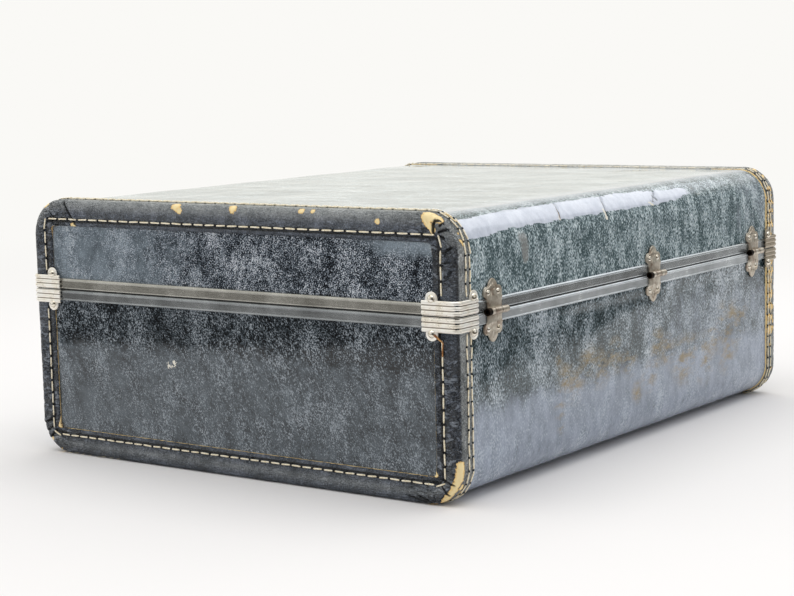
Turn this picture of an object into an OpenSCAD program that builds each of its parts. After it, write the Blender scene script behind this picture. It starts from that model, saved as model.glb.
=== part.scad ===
// Portable typewriter case: two boxes of bent board under lacquered fibre, with sewn leather ends,
// steel rails at the parting line and a lid that hinges at the back.
// The origin is at the middle of the underside, +X along the length, +Y towards the hinges, +Z up.

/* [Case] */
// Length over the leather bindings, from end to end
case_length = 445; // [400:1:500]
// Depth over the leather bindings, from the latches to the hinges
case_depth = 356; // [310:1:400]
// Height over the leather bindings
case_height = 178; // [172:1:210]
// Height of the line where the lid parts from the base
parting_height = 116; // [108:1:122]
// Gap between the two rims when the lid is shut
rim_gap = 0.8; // [0.5:0.1:1.2]
// Radius of the long outer edges, at the top and at the bottom
long_edge_radius = 25; // [20:1:30]

/* [Boards, covering and lining] */
// Thickness of the bent board that makes the front, the back and the flat side
board_thickness = 5; // [4:0.5:7]
// Thickness of the end boards
end_board_thickness = 6; // [4:0.5:8]
// Thickness of the lacquered fibre covering
covering_thickness = 0.8; // [0.5:0.1:1.2]
// Thickness of the lining
lining_thickness = 0.8; // [0.5:0.1:1.2]

/* [Leather bindings] */
// Thickness of the leather
binding_thickness = 1.6; // [1.2:0.1:2.2]
// Width of the leather on the front, the back, the top and the bottom
binding_side_width = 16; // [12:1:20]
// Width of the leather on the end faces
binding_end_width = 18; // [14:1:19]
// Rounding of the leather over the end edges
binding_edge_radius = 4; // [3:0.5:6]

/* [Rails] */
// Height of each steel rail
rail_height = 7.2; // [6:0.2:9]
// Thickness of the flange that covers the rim of the boards
rail_lip_thickness = 0.8; // [0.6:0.1:1.2]
// Distance from the end of a rail to the rounded corner
rail_end_gap = 0.5; // [0.3:0.1:1]
// Height of the inner dust strip above the parting line
dust_strip_rise = 6; // [4:0.5:8]
// Depth of the inner dust strip below the parting line
dust_strip_depth = 14; // [10:1:20]
// Thickness of the inner dust strip
dust_strip_thickness = 0.8; // [0.6:0.1:1]
// Gap between the dust strips and the edge of the lid's lining when the lid is shut
lid_lining_gap = 2; // [1:0.5:4]

/* [Corner clips] */
// Height of a clip, without its nail tabs
clip_height = 9.2; // [8:0.2:11]
// Thickness of the clip metal
clip_thickness = 1; // [0.8:0.1:1.4]
// Length of a clip along an end face
clip_end_length = 25; // [22:1:30]
// Length of a clip along the front or the back
clip_side_length = 21; // [18:1:26]
// Number of raised ribs on a clip
clip_rib_count = 3; // [2:1:3]
// Height of one rib
clip_rib_height = 2; // [1.4:0.1:2.2]
// Distance that a rib stands out
clip_rib_rise = 0.5; // [0.3:0.1:0.8]
// Radius of the round nail tabs
clip_tab_radius = 4.4; // [4:0.1:5]
// Distance from the rim to the nail in a tab
clip_tab_drop = 10.2; // [9.5:0.1:12]
// Distance from the corner to the nail on an end face
clip_end_nail = 18; // [15:0.5:20]
// Distance from the corner to the nail on the front or the back
clip_side_nail = 16.5; // [14:0.5:17]
// Radius of the domed nail heads
nail_radius = 2.6; // [2.2:0.1:3]
// Height of the domed nail heads
nail_height = 1.6; // [1.2:0.1:2]

/* [Hinges] */
// Distance from the right end of the case to the middle of the right hinge
right_hinge_inset = 39.5; // [36:0.5:60]
// Distance from the left end of the case to the middle of the left hinge
left_hinge_inset = 41.5; // [36:0.5:60]
// Place of the middle hinge along the length
middle_hinge_x = -22; // [-40:1:40]
// Height of one hinge leaf above or below the hinge pin
leaf_height = 19.6; // [18:0.2:22]
// Thickness of the leaf metal
leaf_thickness = 1; // [0.8:0.1:1.4]
// Width of the neck of a leaf
leaf_neck_width = 15.5; // [13:0.5:17]
// Radius of the round lobes of a leaf
leaf_lobe_radius = 4.6; // [4:0.1:5]
// Sideways distance of the lobes and their nails
leaf_lobe_offset = 5.5; // [5:0.1:6]
// Distance from the hinge pin to the nails
leaf_nail_distance = 11; // [10:0.5:12]
// Radius of the tip of a leaf
leaf_tip_radius = 3.2; // [2.6:0.1:4]
// Length of the knuckles together
knuckle_length = 22; // [18:1:26]
// Outer radius of a knuckle
knuckle_radius = 2.3; // [2:0.1:2.6]
// Radius of the hinge pins
hinge_pin_radius = 1.2; // [0.8:0.1:1.4]
// Radius of the nails in the hinges, latches and handle plates
small_nail_radius = 1.8; // [1.4:0.1:2]
// Height of those nails
small_nail_height = 1.1; // [0.8:0.1:1.4]
// Metal left between a nail and the edges of a latch or handle plate
plate_nail_margin = 1; // [0.8:0.1:2]

/* [Latches] */
// Distance from the middle of the case to a latch
latch_x = 125; // [100:1:150]
// Width of the lock case and of the hasp plate
lock_width = 34; // [30:1:40]
// Height of the lock case
lock_height = 34; // [32:1:38]
// Distance that the lock case stands out
lock_depth = 5.5; // [5:0.5:7]
// Height of the hasp plate on the lid
hasp_plate_height = 20; // [19:1:21]
// Thickness of the hasp plate
hasp_plate_thickness = 1.5; // [1.2:0.1:2]
// Height of the hasp pin above the parting line
hasp_pin_rise = 14; // [13:0.5:16]
// Radius of the hasp's hinge barrel
hasp_barrel_radius = 2.4; // [2.2:0.1:2.8]
// Radius of the hasp pin
hasp_pin_radius = 1.2; // [1:0.1:1.4]
// Width of the hasp
hasp_width = 20; // [18:1:24]
// Length of the hasp, from its pin to its tip
hasp_length = 38; // [37:0.5:40]
// Thickness of the hasp
hasp_thickness = 1.6; // [1.2:0.1:2]
// Width of the staple at the back of the hasp
staple_width = 6; // [5:0.5:8]
// Height of the staple
staple_height = 4; // [3:0.5:5]
// Radius of the slide button
button_radius = 4.5; // [3.5:0.5:5.5]
// Distance that the slide button stands out
button_height = 3; // [2.5:0.5:4]
// Margin between the slide button and the bottom of the lock case
button_margin = 1.5; // [1:0.5:3]
// Radius of the stem of the slide button
button_stem_radius = 1.5; // [1.2:0.1:2]
// Travel of the slide button
button_travel = 5; // [3:0.5:6]

/* [Handle] */
// Distance from the middle of the case to the middle of a handle lug
handle_lug_x = 60; // [50:1:70]
// Height of the handle's pivot line
handle_pivot_height = 64; // [60:1:70]
// Distance from the covering to the handle's pivot line
handle_pivot_reach = 12; // [11.5:0.5:15]
// Width of a handle lug
handle_lug_width = 4; // [3:0.5:6]
// Radius of a handle lug
handle_lug_radius = 6; // [5:0.5:7]
// Radius of the handle pins
handle_pin_radius = 2.5; // [2:0.1:3]
// Radius of the handle grip
grip_radius = 8; // [7:0.5:9]
// Distance that the grip hangs below its pivot line
grip_sag = 18; // [14:1:22]
// Length of the metal caps on the grip
handle_cap_length = 9; // [7:0.5:12]
// Width of the handle plates
handle_plate_width = 26; // [24:1:32]
// Height of the handle plates
handle_plate_height = 22; // [18:1:26]
// Thickness of the handle plates
handle_plate_thickness = 1.5; // [1.2:0.1:2]

/* [Machine bed] */
// Length of the board that carries the typewriter
bed_length = 320; // [280:1:360]
// Depth of the board that carries the typewriter
bed_depth = 290; // [260:1:295]
// Thickness of that board
bed_thickness = 6; // [5:0.5:9]
// Distance from a corner of the board to its rubber pad, both ways
pad_inset = 24; // [18:1:30]
// Radius of the rubber pads
pad_radius = 11; // [8:0.5:14]
// Height of the rubber pads
pad_height = 4; // [3:0.5:6]
// Distance from the long edge of the board to its screws
screw_inset = 12; // [10:1:14]
// Radius of the screw heads
screw_radius = 4; // [3:0.5:5]

/* [Fits] */
// Gap between a clip and what it lies on
clip_seat_gap = 0.1; // [0.05:0.05:0.2]
// Radial clearance of the hinge, hasp and handle pins
pin_clearance = 0.05; // [0.02:0.01:0.08]
// Gap between pieces that move past each other
running_gap = 0.3; // [0.2:0.05:0.4]

/* [Hidden] */
$fn = 48;
cut = 1;

// Depth of each half, from its flat side to its rim
base_depth = parting_height - rim_gap / 2;
lid_depth = case_height - parting_height - rim_gap / 2;

// Insets from the outside of the bindings to each layer
covering_inset = binding_thickness;
board_inset = covering_inset + covering_thickness;
hollow_inset = board_inset + board_thickness;
lining_inset = hollow_inset + lining_thickness;
end_hollow_inset = board_inset + end_board_thickness;
end_lining_inset = end_hollow_inset + lining_thickness;

half_length = case_length / 2;
half_depth = case_depth / 2;
covering_y = half_depth - covering_inset;

// Places of the hinges and the hinge axis
hinge_axis_y = half_depth + knuckle_radius + running_gap / 2;
right_hinge_x = half_length - right_hinge_inset;
left_hinge_x = left_hinge_inset - half_length;
hinge_places = [left_hinge_x, middle_hinge_x, right_hinge_x];
middle_knuckle_length = knuckle_length / 3;

// Places of the latches, measured from the parting line
lock_top = base_depth - rail_height - running_gap;
lock_bottom = lock_top - lock_height;
lock_front_y = -covering_y - lock_depth;
hasp_back_y = lock_front_y - running_gap;
hasp_pin_y = hasp_back_y - hasp_thickness + hasp_barrel_radius;
hasp_pin_z = parting_height + hasp_pin_rise;
hasp_plate_bottom = parting_height + rim_gap / 2 + rail_height + running_gap;
staple_z = hasp_pin_z - hasp_length + staple_height;
button_z = lock_bottom + button_radius + button_margin;

// Place of the handle's pivot line
handle_pivot_y = -covering_y - handle_pivot_reach;
handle_cap_end = handle_lug_x - handle_lug_width / 2 - running_gap;
grip_half_length = handle_cap_end - handle_cap_length;

bed_bottom = lining_inset;
bed_top = bed_bottom + bed_thickness;

// Extrudes an outline drawn in Y and Z along X
module along_x(from, to) {
    translate([from, 0, 0]) rotate([90, 0, 90]) linear_extrude(to - from) children();
}

// Extrudes an outline drawn in X and Z along Y
module along_y(from, to) {
    translate([0, to, 0]) rotate([90, 0, 0]) linear_extrude(to - from) children();
}

// Turns a piece drawn for the base over onto the lid
module on_lid() {
    translate([0, 0, case_height]) mirror([0, 0, 1]) children();
}

// Draws a piece at the right end, or mirrored at the left end
module at_end(side) {
    if (side > 0) children();
    else mirror([1, 0, 0]) children();
}

// Draws a piece at both ends, both sides or all four corners
module both_ends() {
    for (side = [-1, 1]) at_end(side) children();
}
module both_sides() {
    children();
    mirror([0, 1, 0]) children();
}

// Cross-section of a half, inset from the outside of the bindings and open at its rim
module half_section(inset, top) {
    flat = half_depth - long_edge_radius;
    wide = half_depth - inset;
    intersection() {
        union() {
            translate([-wide, long_edge_radius]) square([2 * wide, top]);
            translate([-flat, inset]) square([2 * flat, top]);
            for (y = [-flat, flat]) translate([y, long_edge_radius]) circle(long_edge_radius - inset);
        }
        translate([-wide, 0]) square([2 * wide, top]);
    }
}

// Wall between two insets of a half's cross-section
module half_wall(outer, inner, top) {
    difference() {
        half_section(outer, top);
        half_section(inner, top + cut);
    }
}

// Bent board of a half: the flat side, the front and the back in one sheet
module bent_board(depth) {
    reach = half_length - board_inset;
    along_x(-reach, reach) half_wall(board_inset, hollow_inset, depth - rail_lip_thickness);
}

// End boards of a half, fitted between the walls of the bent board
module end_boards(depth) {
    both_ends() along_x(half_length - end_hollow_inset, half_length - board_inset)
        half_section(hollow_inset, depth - rail_lip_thickness);
}

// Lacquered fibre over the bent board
module fibre_covering(depth) {
    reach = half_length - board_inset;
    along_x(-reach, reach) half_wall(covering_inset, board_inset, depth - rail_lip_thickness);
}

// Lacquered fibre over one end
module fibre_end_panel(depth) {
    along_x(half_length - board_inset, half_length - covering_inset)
        half_section(covering_inset, depth - rail_lip_thickness);
}

// Rectangle from the middle of the case to one end, its two end corners rounded as the leather is
module end_block(low, high) {
    radius = binding_edge_radius;
    translate([0, low]) square([half_length - radius, high - low]);
    translate([0, low + radius]) square([half_length, high - low - 2 * radius]);
    for (v = [low + radius, high - radius]) translate([half_length - radius, v]) circle(radius);
}

// Leather over one end edge: a band along the long faces and a border on the end face, made as
// one sheet and rounded where it turns over the edge
module leather_binding(depth) {
    top = depth - rail_height - clip_seat_gap;
    start = half_length - binding_side_width;
    intersection() {
        difference() {
            along_x(start, half_length) half_section(0, top);
            along_x(start - cut, half_length - binding_thickness)
                half_section(binding_thickness, top + cut);
            along_x(half_length - binding_thickness - cut, half_length + cut)
                half_section(binding_end_width, top + cut);
        }
        linear_extrude(depth) end_block(-half_depth, half_depth);
        along_y(-half_depth, half_depth) end_block(0, 2 * depth);
    }
}

// Steel rail along the front or the back: an outer flange and a lip over the rim
module long_rail(depth) {
    reach = half_length - binding_edge_radius - rail_end_gap;
    along_x(-reach, reach) {
        translate([covering_y, depth - rail_height]) square([covering_inset, rail_height]);
        translate([half_depth - hollow_inset, depth - rail_lip_thickness])
            square([hollow_inset, rail_lip_thickness]);
    }
}

// Steel rail along an end, its lip held between the lips of the long rails
module end_rail(depth) {
    reach = half_depth - binding_edge_radius - rail_end_gap;
    lip_reach = half_depth - hollow_inset - clip_seat_gap;
    along_y(-reach, reach) translate([half_length - covering_inset, depth - rail_height])
        square([covering_inset, rail_height]);
    along_y(-lip_reach, lip_reach)
        translate([half_length - end_hollow_inset, depth - rail_lip_thickness])
            square([end_hollow_inset, rail_lip_thickness]);
}

// Domed nail head, standing on the origin along +Z
module nail_head(radius, height) {
    ball = (radius * radius + height * height) / (2 * height);
    rotate_extrude() intersection() {
        translate([0, height - ball]) circle(ball);
        square([radius, height]);
    }
}

// Plan of the block inside a clip, with its rounded corner
module clip_block(rise) {
    x = half_length + rise;
    y = half_depth + rise;
    radius = binding_edge_radius + rise;
    left = half_length - clip_side_length;
    near = half_depth - clip_end_length;
    translate([left, near]) square([x - radius - left, y - near]);
    translate([left, near]) square([x - left, y - radius - near]);
    translate([x - radius, y - radius]) circle(radius);
}

// Plan of one clip, from the metal's inner face out to the given rise
module clip_plan(rise) {
    difference() {
        clip_block(rise);
        translate([-cut, -cut]) clip_block(clip_seat_gap + cut);
        clip_block(clip_seat_gap);
    }
}

// Places what is drawn along +Z on the two nail tabs of a clip, at the given distance from the leather
module at_clip_nails(depth, rise) {
    tab_z = depth - clip_tab_drop;
    translate([half_length + rise, half_depth - clip_end_nail, tab_z]) rotate([0, 90, 0]) children();
    translate([half_length - clip_side_nail, half_depth + rise, tab_z]) rotate([-90, 0, 0]) children();
}

// Ribbed corner clip of one half, with a round nail tab on each flange
module corner_clip(depth) {
    outer = clip_seat_gap + clip_thickness;
    pitch = clip_height / clip_rib_count;
    translate([0, 0, depth - clip_height]) linear_extrude(clip_height) clip_plan(outer);
    difference() {
        for (rib = [0 : clip_rib_count - 1])
            translate([0, 0, depth - clip_height + (rib + 0.5) * pitch - clip_rib_height / 2])
                linear_extrude(clip_rib_height) clip_plan(outer + clip_rib_rise);
        at_clip_nails(depth, outer)
            cylinder(h = clip_rib_rise + cut, r = nail_radius + clip_seat_gap);
    }
    at_clip_nails(depth, clip_seat_gap) cylinder(h = clip_thickness, r = clip_tab_radius);
}

// The two nails of a corner clip
module clip_nail_pair(depth) {
    at_clip_nails(depth, clip_seat_gap + clip_thickness) nail_head(nail_radius, nail_height);
}

// Thin lining glued inside a half, up to the given height
module half_lining(top) {
    reach = half_length - end_hollow_inset;
    difference() {
        along_x(-reach, reach) half_section(hollow_inset, top);
        along_x(-reach + lining_thickness, reach - lining_thickness)
            half_section(lining_inset, top + cut);
    }
}

// Outline of a hinge leaf, drawn upwards from the hinge pin
module leaf_outline() {
    translate([-leaf_neck_width / 2, rim_gap / 2])
        square([leaf_neck_width, leaf_nail_distance - rim_gap / 2]);
    for (side = [-1, 1]) translate([side * leaf_lobe_offset, leaf_nail_distance])
        circle(leaf_lobe_radius);
    translate([0, leaf_nail_distance + leaf_tip_radius / 2]) circle(leaf_lobe_offset);
    translate([0, leaf_height - leaf_tip_radius]) circle(leaf_tip_radius);
}

// Length of hinge barrel along X, round the hinge axis
module barrel(from, to, radius) {
    translate([from, hinge_axis_y, 0]) rotate([0, 90, 0]) cylinder(h = to - from, r = radius);
}

// Upper leaf of a hinge, with the middle knuckle or with the two outer ones
module hinge_leaf(middle) {
    inner = middle_knuckle_length / 2;
    outer = knuckle_length / 2;
    below_rail = rim_gap / 2 + rail_height + running_gap;
    bore = hinge_pin_radius + pin_clearance;
    difference() {
        union() {
            along_y(half_depth, half_depth + leaf_thickness) leaf_outline();
            along_y(covering_y, half_depth) intersection() {
                leaf_outline();
                translate([-leaf_height, below_rail]) square(2 * leaf_height);
            }
            if (middle) barrel(-inner, inner, knuckle_radius);
            else for (side = [-1, 1]) {
                barrel(min(side * inner, side * outer), max(side * inner, side * outer), knuckle_radius);
            }
        }
        barrel(-outer - cut, outer + cut, bore);
        if (middle) for (side = [-1, 1]) {
            edge = inner - running_gap / 2;
            barrel(min(side * edge, side * (outer + cut)), max(side * edge, side * (outer + cut)),
                knuckle_radius + running_gap);
        }
        else barrel(-inner - running_gap / 2, inner + running_gap / 2, knuckle_radius + running_gap);
    }
}

// The two nails of a hinge leaf
module leaf_nails() {
    for (side = [-1, 1])
        translate([side * leaf_lobe_offset, half_depth + leaf_thickness, leaf_nail_distance])
            rotate([-90, 0, 0]) nail_head(small_nail_radius, small_nail_height);
}

// Places what is drawn above the hinge axis on the lid or, turned over, on the base
module at_hinge(x, on_the_lid) {
    translate([x, 0, parting_height]) mirror([0, 0, on_the_lid ? 0 : 1]) children();
}

// Lock case of a latch: a notch at its top takes the staple, a slot below guides the button
module lock_case() {
    staple_gap = 2 * running_gap;
    notch_width = staple_width + 2 * staple_gap;
    notch_bottom = staple_z - staple_height / 2 - staple_gap;
    notch_depth = lock_depth - hasp_plate_thickness;
    slot_half = button_stem_radius + running_gap;
    difference() {
        translate([-lock_width / 2, lock_front_y, lock_bottom]) cube([lock_width, lock_depth, lock_height]);
        translate([-notch_width / 2, lock_front_y - cut, notch_bottom])
            cube([notch_width, notch_depth + cut, lock_height]);
        translate([-slot_half, lock_front_y - cut, button_z - slot_half])
            cube([button_travel + 2 * slot_half, notch_depth + cut, 2 * slot_half]);
    }
}

// Knob and stem of a slide button
module slide_button() {
    stem = lock_depth - hasp_plate_thickness - running_gap;
    translate([0, lock_front_y - running_gap, button_z]) rotate([90, 0, 0])
        cylinder(h = button_height, r = button_radius);
    translate([0, lock_front_y + stem, button_z]) rotate([90, 0, 0])
        cylinder(h = stem + running_gap + cut, r = button_stem_radius);
}

// Nails at the corners of a plate on the front, standing on the plane at the given depth
module plate_nails(width, bottom, top, face_y) {
    margin = small_nail_radius + plate_nail_margin;
    for (x = [margin - width / 2, width / 2 - margin], z = [bottom + margin, top - margin])
        translate([x, face_y, z]) rotate([90, 0, 0]) nail_head(small_nail_radius, small_nail_height);
}

// Hasp plate on the lid, with an ear at each side of the hasp
module hasp_plate() {
    back_y = -covering_y;
    ear_width = (lock_width - hasp_width) / 2 - running_gap;
    difference() {
        union() {
            translate([-lock_width / 2, back_y - hasp_plate_thickness, hasp_plate_bottom])
                cube([lock_width, hasp_plate_thickness, hasp_plate_height]);
            both_ends() translate([lock_width / 2 - ear_width, 0, hasp_pin_z]) {
                rotate([0, 90, 0]) translate([0, hasp_pin_y, 0])
                    cylinder(h = ear_width, r = hasp_barrel_radius);
                translate([0, hasp_pin_y, -hasp_barrel_radius])
                    cube([ear_width, back_y - hasp_pin_y, 2 * hasp_barrel_radius]);
            }
        }
        translate([-lock_width, hasp_pin_y, hasp_pin_z]) rotate([0, 90, 0])
            cylinder(h = 2 * lock_width, r = hasp_pin_radius + pin_clearance);
    }
}

// Pin through a hasp and its two ears
module hasp_pin() {
    translate([-lock_width / 2, hasp_pin_y, hasp_pin_z]) rotate([0, 90, 0])
        cylinder(h = lock_width, r = hasp_pin_radius);
}

// Hasp with its barrel at the top and its staple at the bottom
module hasp() {
    staple_reach = lock_depth - hasp_plate_thickness - running_gap;
    difference() {
        union() {
            translate([-hasp_width / 2, hasp_back_y - hasp_thickness, hasp_pin_z - hasp_length + hasp_width / 2])
                cube([hasp_width, hasp_thickness, hasp_length - hasp_width / 2]);
            translate([0, hasp_back_y, hasp_pin_z - hasp_length + hasp_width / 2]) rotate([90, 0, 0])
                cylinder(h = hasp_thickness, r = hasp_width / 2);
            translate([-hasp_width / 2, hasp_pin_y, hasp_pin_z]) rotate([0, 90, 0])
                cylinder(h = hasp_width, r = hasp_barrel_radius);
            translate([-staple_width / 2, hasp_back_y - hasp_thickness / 2, staple_z - staple_height / 2])
                cube([staple_width, staple_reach + hasp_thickness / 2, staple_height]);
        }
        translate([-hasp_width, hasp_pin_y, hasp_pin_z]) rotate([0, 90, 0])
            cylinder(h = 2 * hasp_width, r = hasp_pin_radius + pin_clearance);
    }
}

// Handle plate with its lug and the bore for the handle's pin
module handle_plate() {
    lug_left = -handle_lug_width / 2;
    translate([handle_lug_x, 0, handle_pivot_height]) difference() {
        union() {
            translate([-handle_plate_width / 2, -covering_y - handle_plate_thickness, -handle_plate_height / 2])
                cube([handle_plate_width, handle_plate_thickness, handle_plate_height]);
            translate([lug_left, handle_pivot_y, -handle_lug_radius])
                cube([handle_lug_width, handle_pivot_reach, 2 * handle_lug_radius]);
            translate([lug_left, handle_pivot_y, 0]) rotate([0, 90, 0])
                cylinder(h = handle_lug_width, r = handle_lug_radius);
        }
        translate([-handle_lug_width, handle_pivot_y, 0]) rotate([0, 90, 0])
            cylinder(h = 2 * handle_lug_width, r = handle_pin_radius + pin_clearance);
    }
}

// Metal cap of the grip, with the pin that turns in the lug
module handle_cap() {
    translate([grip_half_length, handle_pivot_y, handle_pivot_height]) rotate([0, 90, 0]) {
        cylinder(h = handle_cap_length, r = grip_radius);
        cylinder(h = handle_lug_x - grip_half_length + handle_lug_width, r = handle_pin_radius);
    }
}

// Leather grip, sagging in an arc between its two caps and trimmed level with their tops
module grip() {
    arc = (grip_half_length * grip_half_length + grip_sag * grip_sag) / (2 * grip_sag);
    arc_z = handle_pivot_height - grip_sag + arc;
    below = grip_sag + 2 * grip_radius;
    intersection() {
        translate([0, handle_pivot_y, arc_z]) rotate([90, 0, 0]) rotate_extrude($fn = 96)
            translate([arc, 0]) circle(grip_radius);
        translate([-grip_half_length, handle_pivot_y - 2 * grip_radius, handle_pivot_height - below])
            cube([2 * grip_half_length, 4 * grip_radius, below + grip_radius]);
    }
}

// Four places on the machine bed, inset from its long and short edges
module at_bed_corners(inset_x, inset_y) {
    for (x = [-1, 1], y = [-1, 1])
        translate([x * (bed_length / 2 - inset_x), y * (bed_depth / 2 - inset_y), bed_top]) children();
}

module base_board() {
    color("#8a6b48") bent_board(base_depth);
}
module base_end_boards() {
    color("#8a6b48") end_boards(base_depth);
}
module base_covering() {
    color("#59666d") fibre_covering(base_depth);
}
module base_end_panel(side) {
    color("#525b66") at_end(side) fibre_end_panel(base_depth);
}
module base_binding(side) {
    color("#586876") at_end(side) leather_binding(base_depth);
}
module base_rail_long(side) {
    color("#8d9398") mirror([0, side > 0 ? 0 : 1, 0]) long_rail(base_depth);
}
module base_rail_end(side) {
    color("#8d9398") at_end(side) end_rail(base_depth);
}
module base_corner_clips() {
    color("#cfc8b6") both_ends() both_sides() corner_clip(base_depth);
}
module base_clip_nails() {
    color("#d8d2c2") both_ends() both_sides() clip_nail_pair(base_depth);
}
module base_lining() {
    color("#4a3f3a") half_lining(base_depth - rail_lip_thickness);
}

// Dust strips inside the rim of the base, which stand up into the lid
module dust_strips() {
    bottom = parting_height - dust_strip_depth;
    height = dust_strip_depth + dust_strip_rise;
    inner_x = half_length - end_lining_inset;
    inner_y = half_depth - lining_inset;
    side_reach = inner_x - dust_strip_thickness - clip_seat_gap;
    color("#9aa0a4") {
        both_sides() translate([-side_reach, inner_y - dust_strip_thickness, bottom])
            cube([2 * side_reach, dust_strip_thickness, height]);
        both_ends() translate([inner_x - dust_strip_thickness, -inner_y, bottom])
            cube([dust_strip_thickness, 2 * inner_y, height]);
    }
}
module machine_bed() {
    color("#a98a5c") translate([-bed_length / 2, -bed_depth / 2, bed_bottom])
        cube([bed_length, bed_depth, bed_thickness]);
}
module bed_pads() {
    color("#2b2b2c") at_bed_corners(pad_inset, pad_inset) cylinder(h = pad_height, r = pad_radius);
}
module bed_screws() {
    color("#b9b6ab") at_bed_corners(bed_length / 3, screw_inset) nail_head(screw_radius, screw_radius / 2);
}
module hinge_leaf_base(x) {
    color("#8f7b66") at_hinge(x, false) hinge_leaf(false);
}
module hinge_pins() {
    color("#7d6a58") for (x = hinge_places) translate([x, 0, parting_height])
        barrel(-knuckle_length / 2, knuckle_length / 2, hinge_pin_radius);
}
module base_hinge_nails() {
    color("#d8d2c2") for (x = hinge_places) at_hinge(x, false) leaf_nails();
}
module base_lock_case(side) {
    color("#b9b2a2") translate([side * latch_x, 0, 0]) lock_case();
}
module lock_nails() {
    face = lock_front_y;
    color("#d8d2c2") for (side = [-1, 1]) translate([side * latch_x, 0, 0])
        plate_nails(lock_width, lock_bottom, lock_top, face);
}
module base_slide_button(side) {
    color("#cfc8b6") translate([side * latch_x, 0, 0]) slide_button();
}
module base_handle_plate(side) {
    color("#b9b2a2") at_end(side) handle_plate();
}
module handle_nails() {
    color("#d8d2c2") both_ends() translate([handle_lug_x, 0, handle_pivot_height])
        plate_nails(handle_plate_width, -handle_plate_height / 2, handle_plate_height / 2,
            -covering_y - handle_plate_thickness);
}
module handle_grip() {
    color("#46545f") grip();
}
module grip_cap(side) {
    color("#b9b2a2") at_end(side) handle_cap();
}
module lid_board() {
    color("#8a6b48") on_lid() bent_board(lid_depth);
}
module lid_end_boards() {
    color("#8a6b48") on_lid() end_boards(lid_depth);
}
module lid_covering() {
    color("#6b767d") on_lid() fibre_covering(lid_depth);
}
module lid_end_panel(side) {
    color("#525b66") on_lid() at_end(side) fibre_end_panel(lid_depth);
}
module lid_binding(side) {
    color("#586876") on_lid() at_end(side) leather_binding(lid_depth);
}
module lid_rail_long(side) {
    color("#74786f") on_lid() mirror([0, side > 0 ? 0 : 1, 0]) long_rail(lid_depth);
}
module lid_rail_end(side) {
    color("#74786f") on_lid() at_end(side) end_rail(lid_depth);
}
module lid_corner_clips() {
    color("#cfc8b6") on_lid() both_ends() both_sides() corner_clip(lid_depth);
}
module lid_clip_nails() {
    color("#d8d2c2") on_lid() both_ends() both_sides() clip_nail_pair(lid_depth);
}
module lid_lining() {
    color("#4a3f3a") on_lid() half_lining(lid_depth + rim_gap / 2 - dust_strip_rise - lid_lining_gap);
}
module hinge_leaf_lid(x) {
    color("#8f7b66") at_hinge(x, true) hinge_leaf(true);
}
module lid_hinge_nails() {
    color("#d8d2c2") for (x = hinge_places) at_hinge(x, true) leaf_nails();
}
module lid_hasp_plate(side) {
    color("#b9b2a2") translate([side * latch_x, 0, 0]) hasp_plate();
}
module hasp_plate_nails() {
    margin = small_nail_radius + plate_nail_margin;
    color("#d8d2c2") for (side = [-1, 1], x = [margin - lock_width / 2, lock_width / 2 - margin])
        translate([side * latch_x + x, -covering_y - hasp_plate_thickness,
            hasp_plate_bottom + hasp_plate_height - margin])
            rotate([90, 0, 0]) nail_head(small_nail_radius, small_nail_height);
}
module hasp_pins() {
    color("#b9b2a2") for (side = [-1, 1]) translate([side * latch_x, 0, 0]) hasp_pin();
}
module lid_hasp(side) {
    color("#c6bfae") translate([side * latch_x, 0, 0]) hasp();
}

base_board();
base_end_boards();
base_covering();
base_end_panel(-1);  // base_end_panel_left
base_end_panel(1);  // base_end_panel_right
base_binding(-1);  // base_binding_left
base_binding(1);  // base_binding_right
base_rail_long(-1);  // base_rail_front
base_rail_long(1);  // base_rail_back
base_rail_end(-1);  // base_rail_left
base_rail_end(1);  // base_rail_right
base_corner_clips();
base_clip_nails();
base_lining();
dust_strips();
machine_bed();
bed_pads();
bed_screws();
hinge_leaf_base(left_hinge_x);  // hinge_leaf_base_left
hinge_leaf_base(middle_hinge_x);  // hinge_leaf_base_middle
hinge_leaf_base(right_hinge_x);  // hinge_leaf_base_right
hinge_pins();
base_hinge_nails();
base_lock_case(-1);  // lock_case_left
base_lock_case(1);  // lock_case_right
lock_nails();
base_slide_button(-1);  // slide_button_left
base_slide_button(1);  // slide_button_right
base_handle_plate(-1);  // handle_plate_left
base_handle_plate(1);  // handle_plate_right
handle_nails();
handle_grip();
grip_cap(-1);  // handle_cap_left
grip_cap(1);  // handle_cap_right
lid_board();
lid_end_boards();
lid_covering();
lid_end_panel(-1);  // lid_end_panel_left
lid_end_panel(1);  // lid_end_panel_right
lid_binding(-1);  // lid_binding_left
lid_binding(1);  // lid_binding_right
lid_rail_long(-1);  // lid_rail_front
lid_rail_long(1);  // lid_rail_back
lid_rail_end(-1);  // lid_rail_left
lid_rail_end(1);  // lid_rail_right
lid_corner_clips();
lid_clip_nails();
lid_lining();
hinge_leaf_lid(left_hinge_x);  // hinge_leaf_lid_left
hinge_leaf_lid(middle_hinge_x);  // hinge_leaf_lid_middle
hinge_leaf_lid(right_hinge_x);  // hinge_leaf_lid_right
lid_hinge_nails();
lid_hasp_plate(-1);  // hasp_plate_left
lid_hasp_plate(1);  // hasp_plate_right
hasp_plate_nails();
hasp_pins();
lid_hasp(-1);  // hasp_left
lid_hasp(1);  // hasp_right
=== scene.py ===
# %% [markdown]
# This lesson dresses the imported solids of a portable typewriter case. The solids already have the
# right sizes and joints, in metres, with the origin in the middle of the plane that the case rests
# on. Here every visible surface gets its real form: lacquered fibre with its dents, sewn leather
# with creases and worn corners, rolled rails, ribbed clips and stamped hinges.

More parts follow.
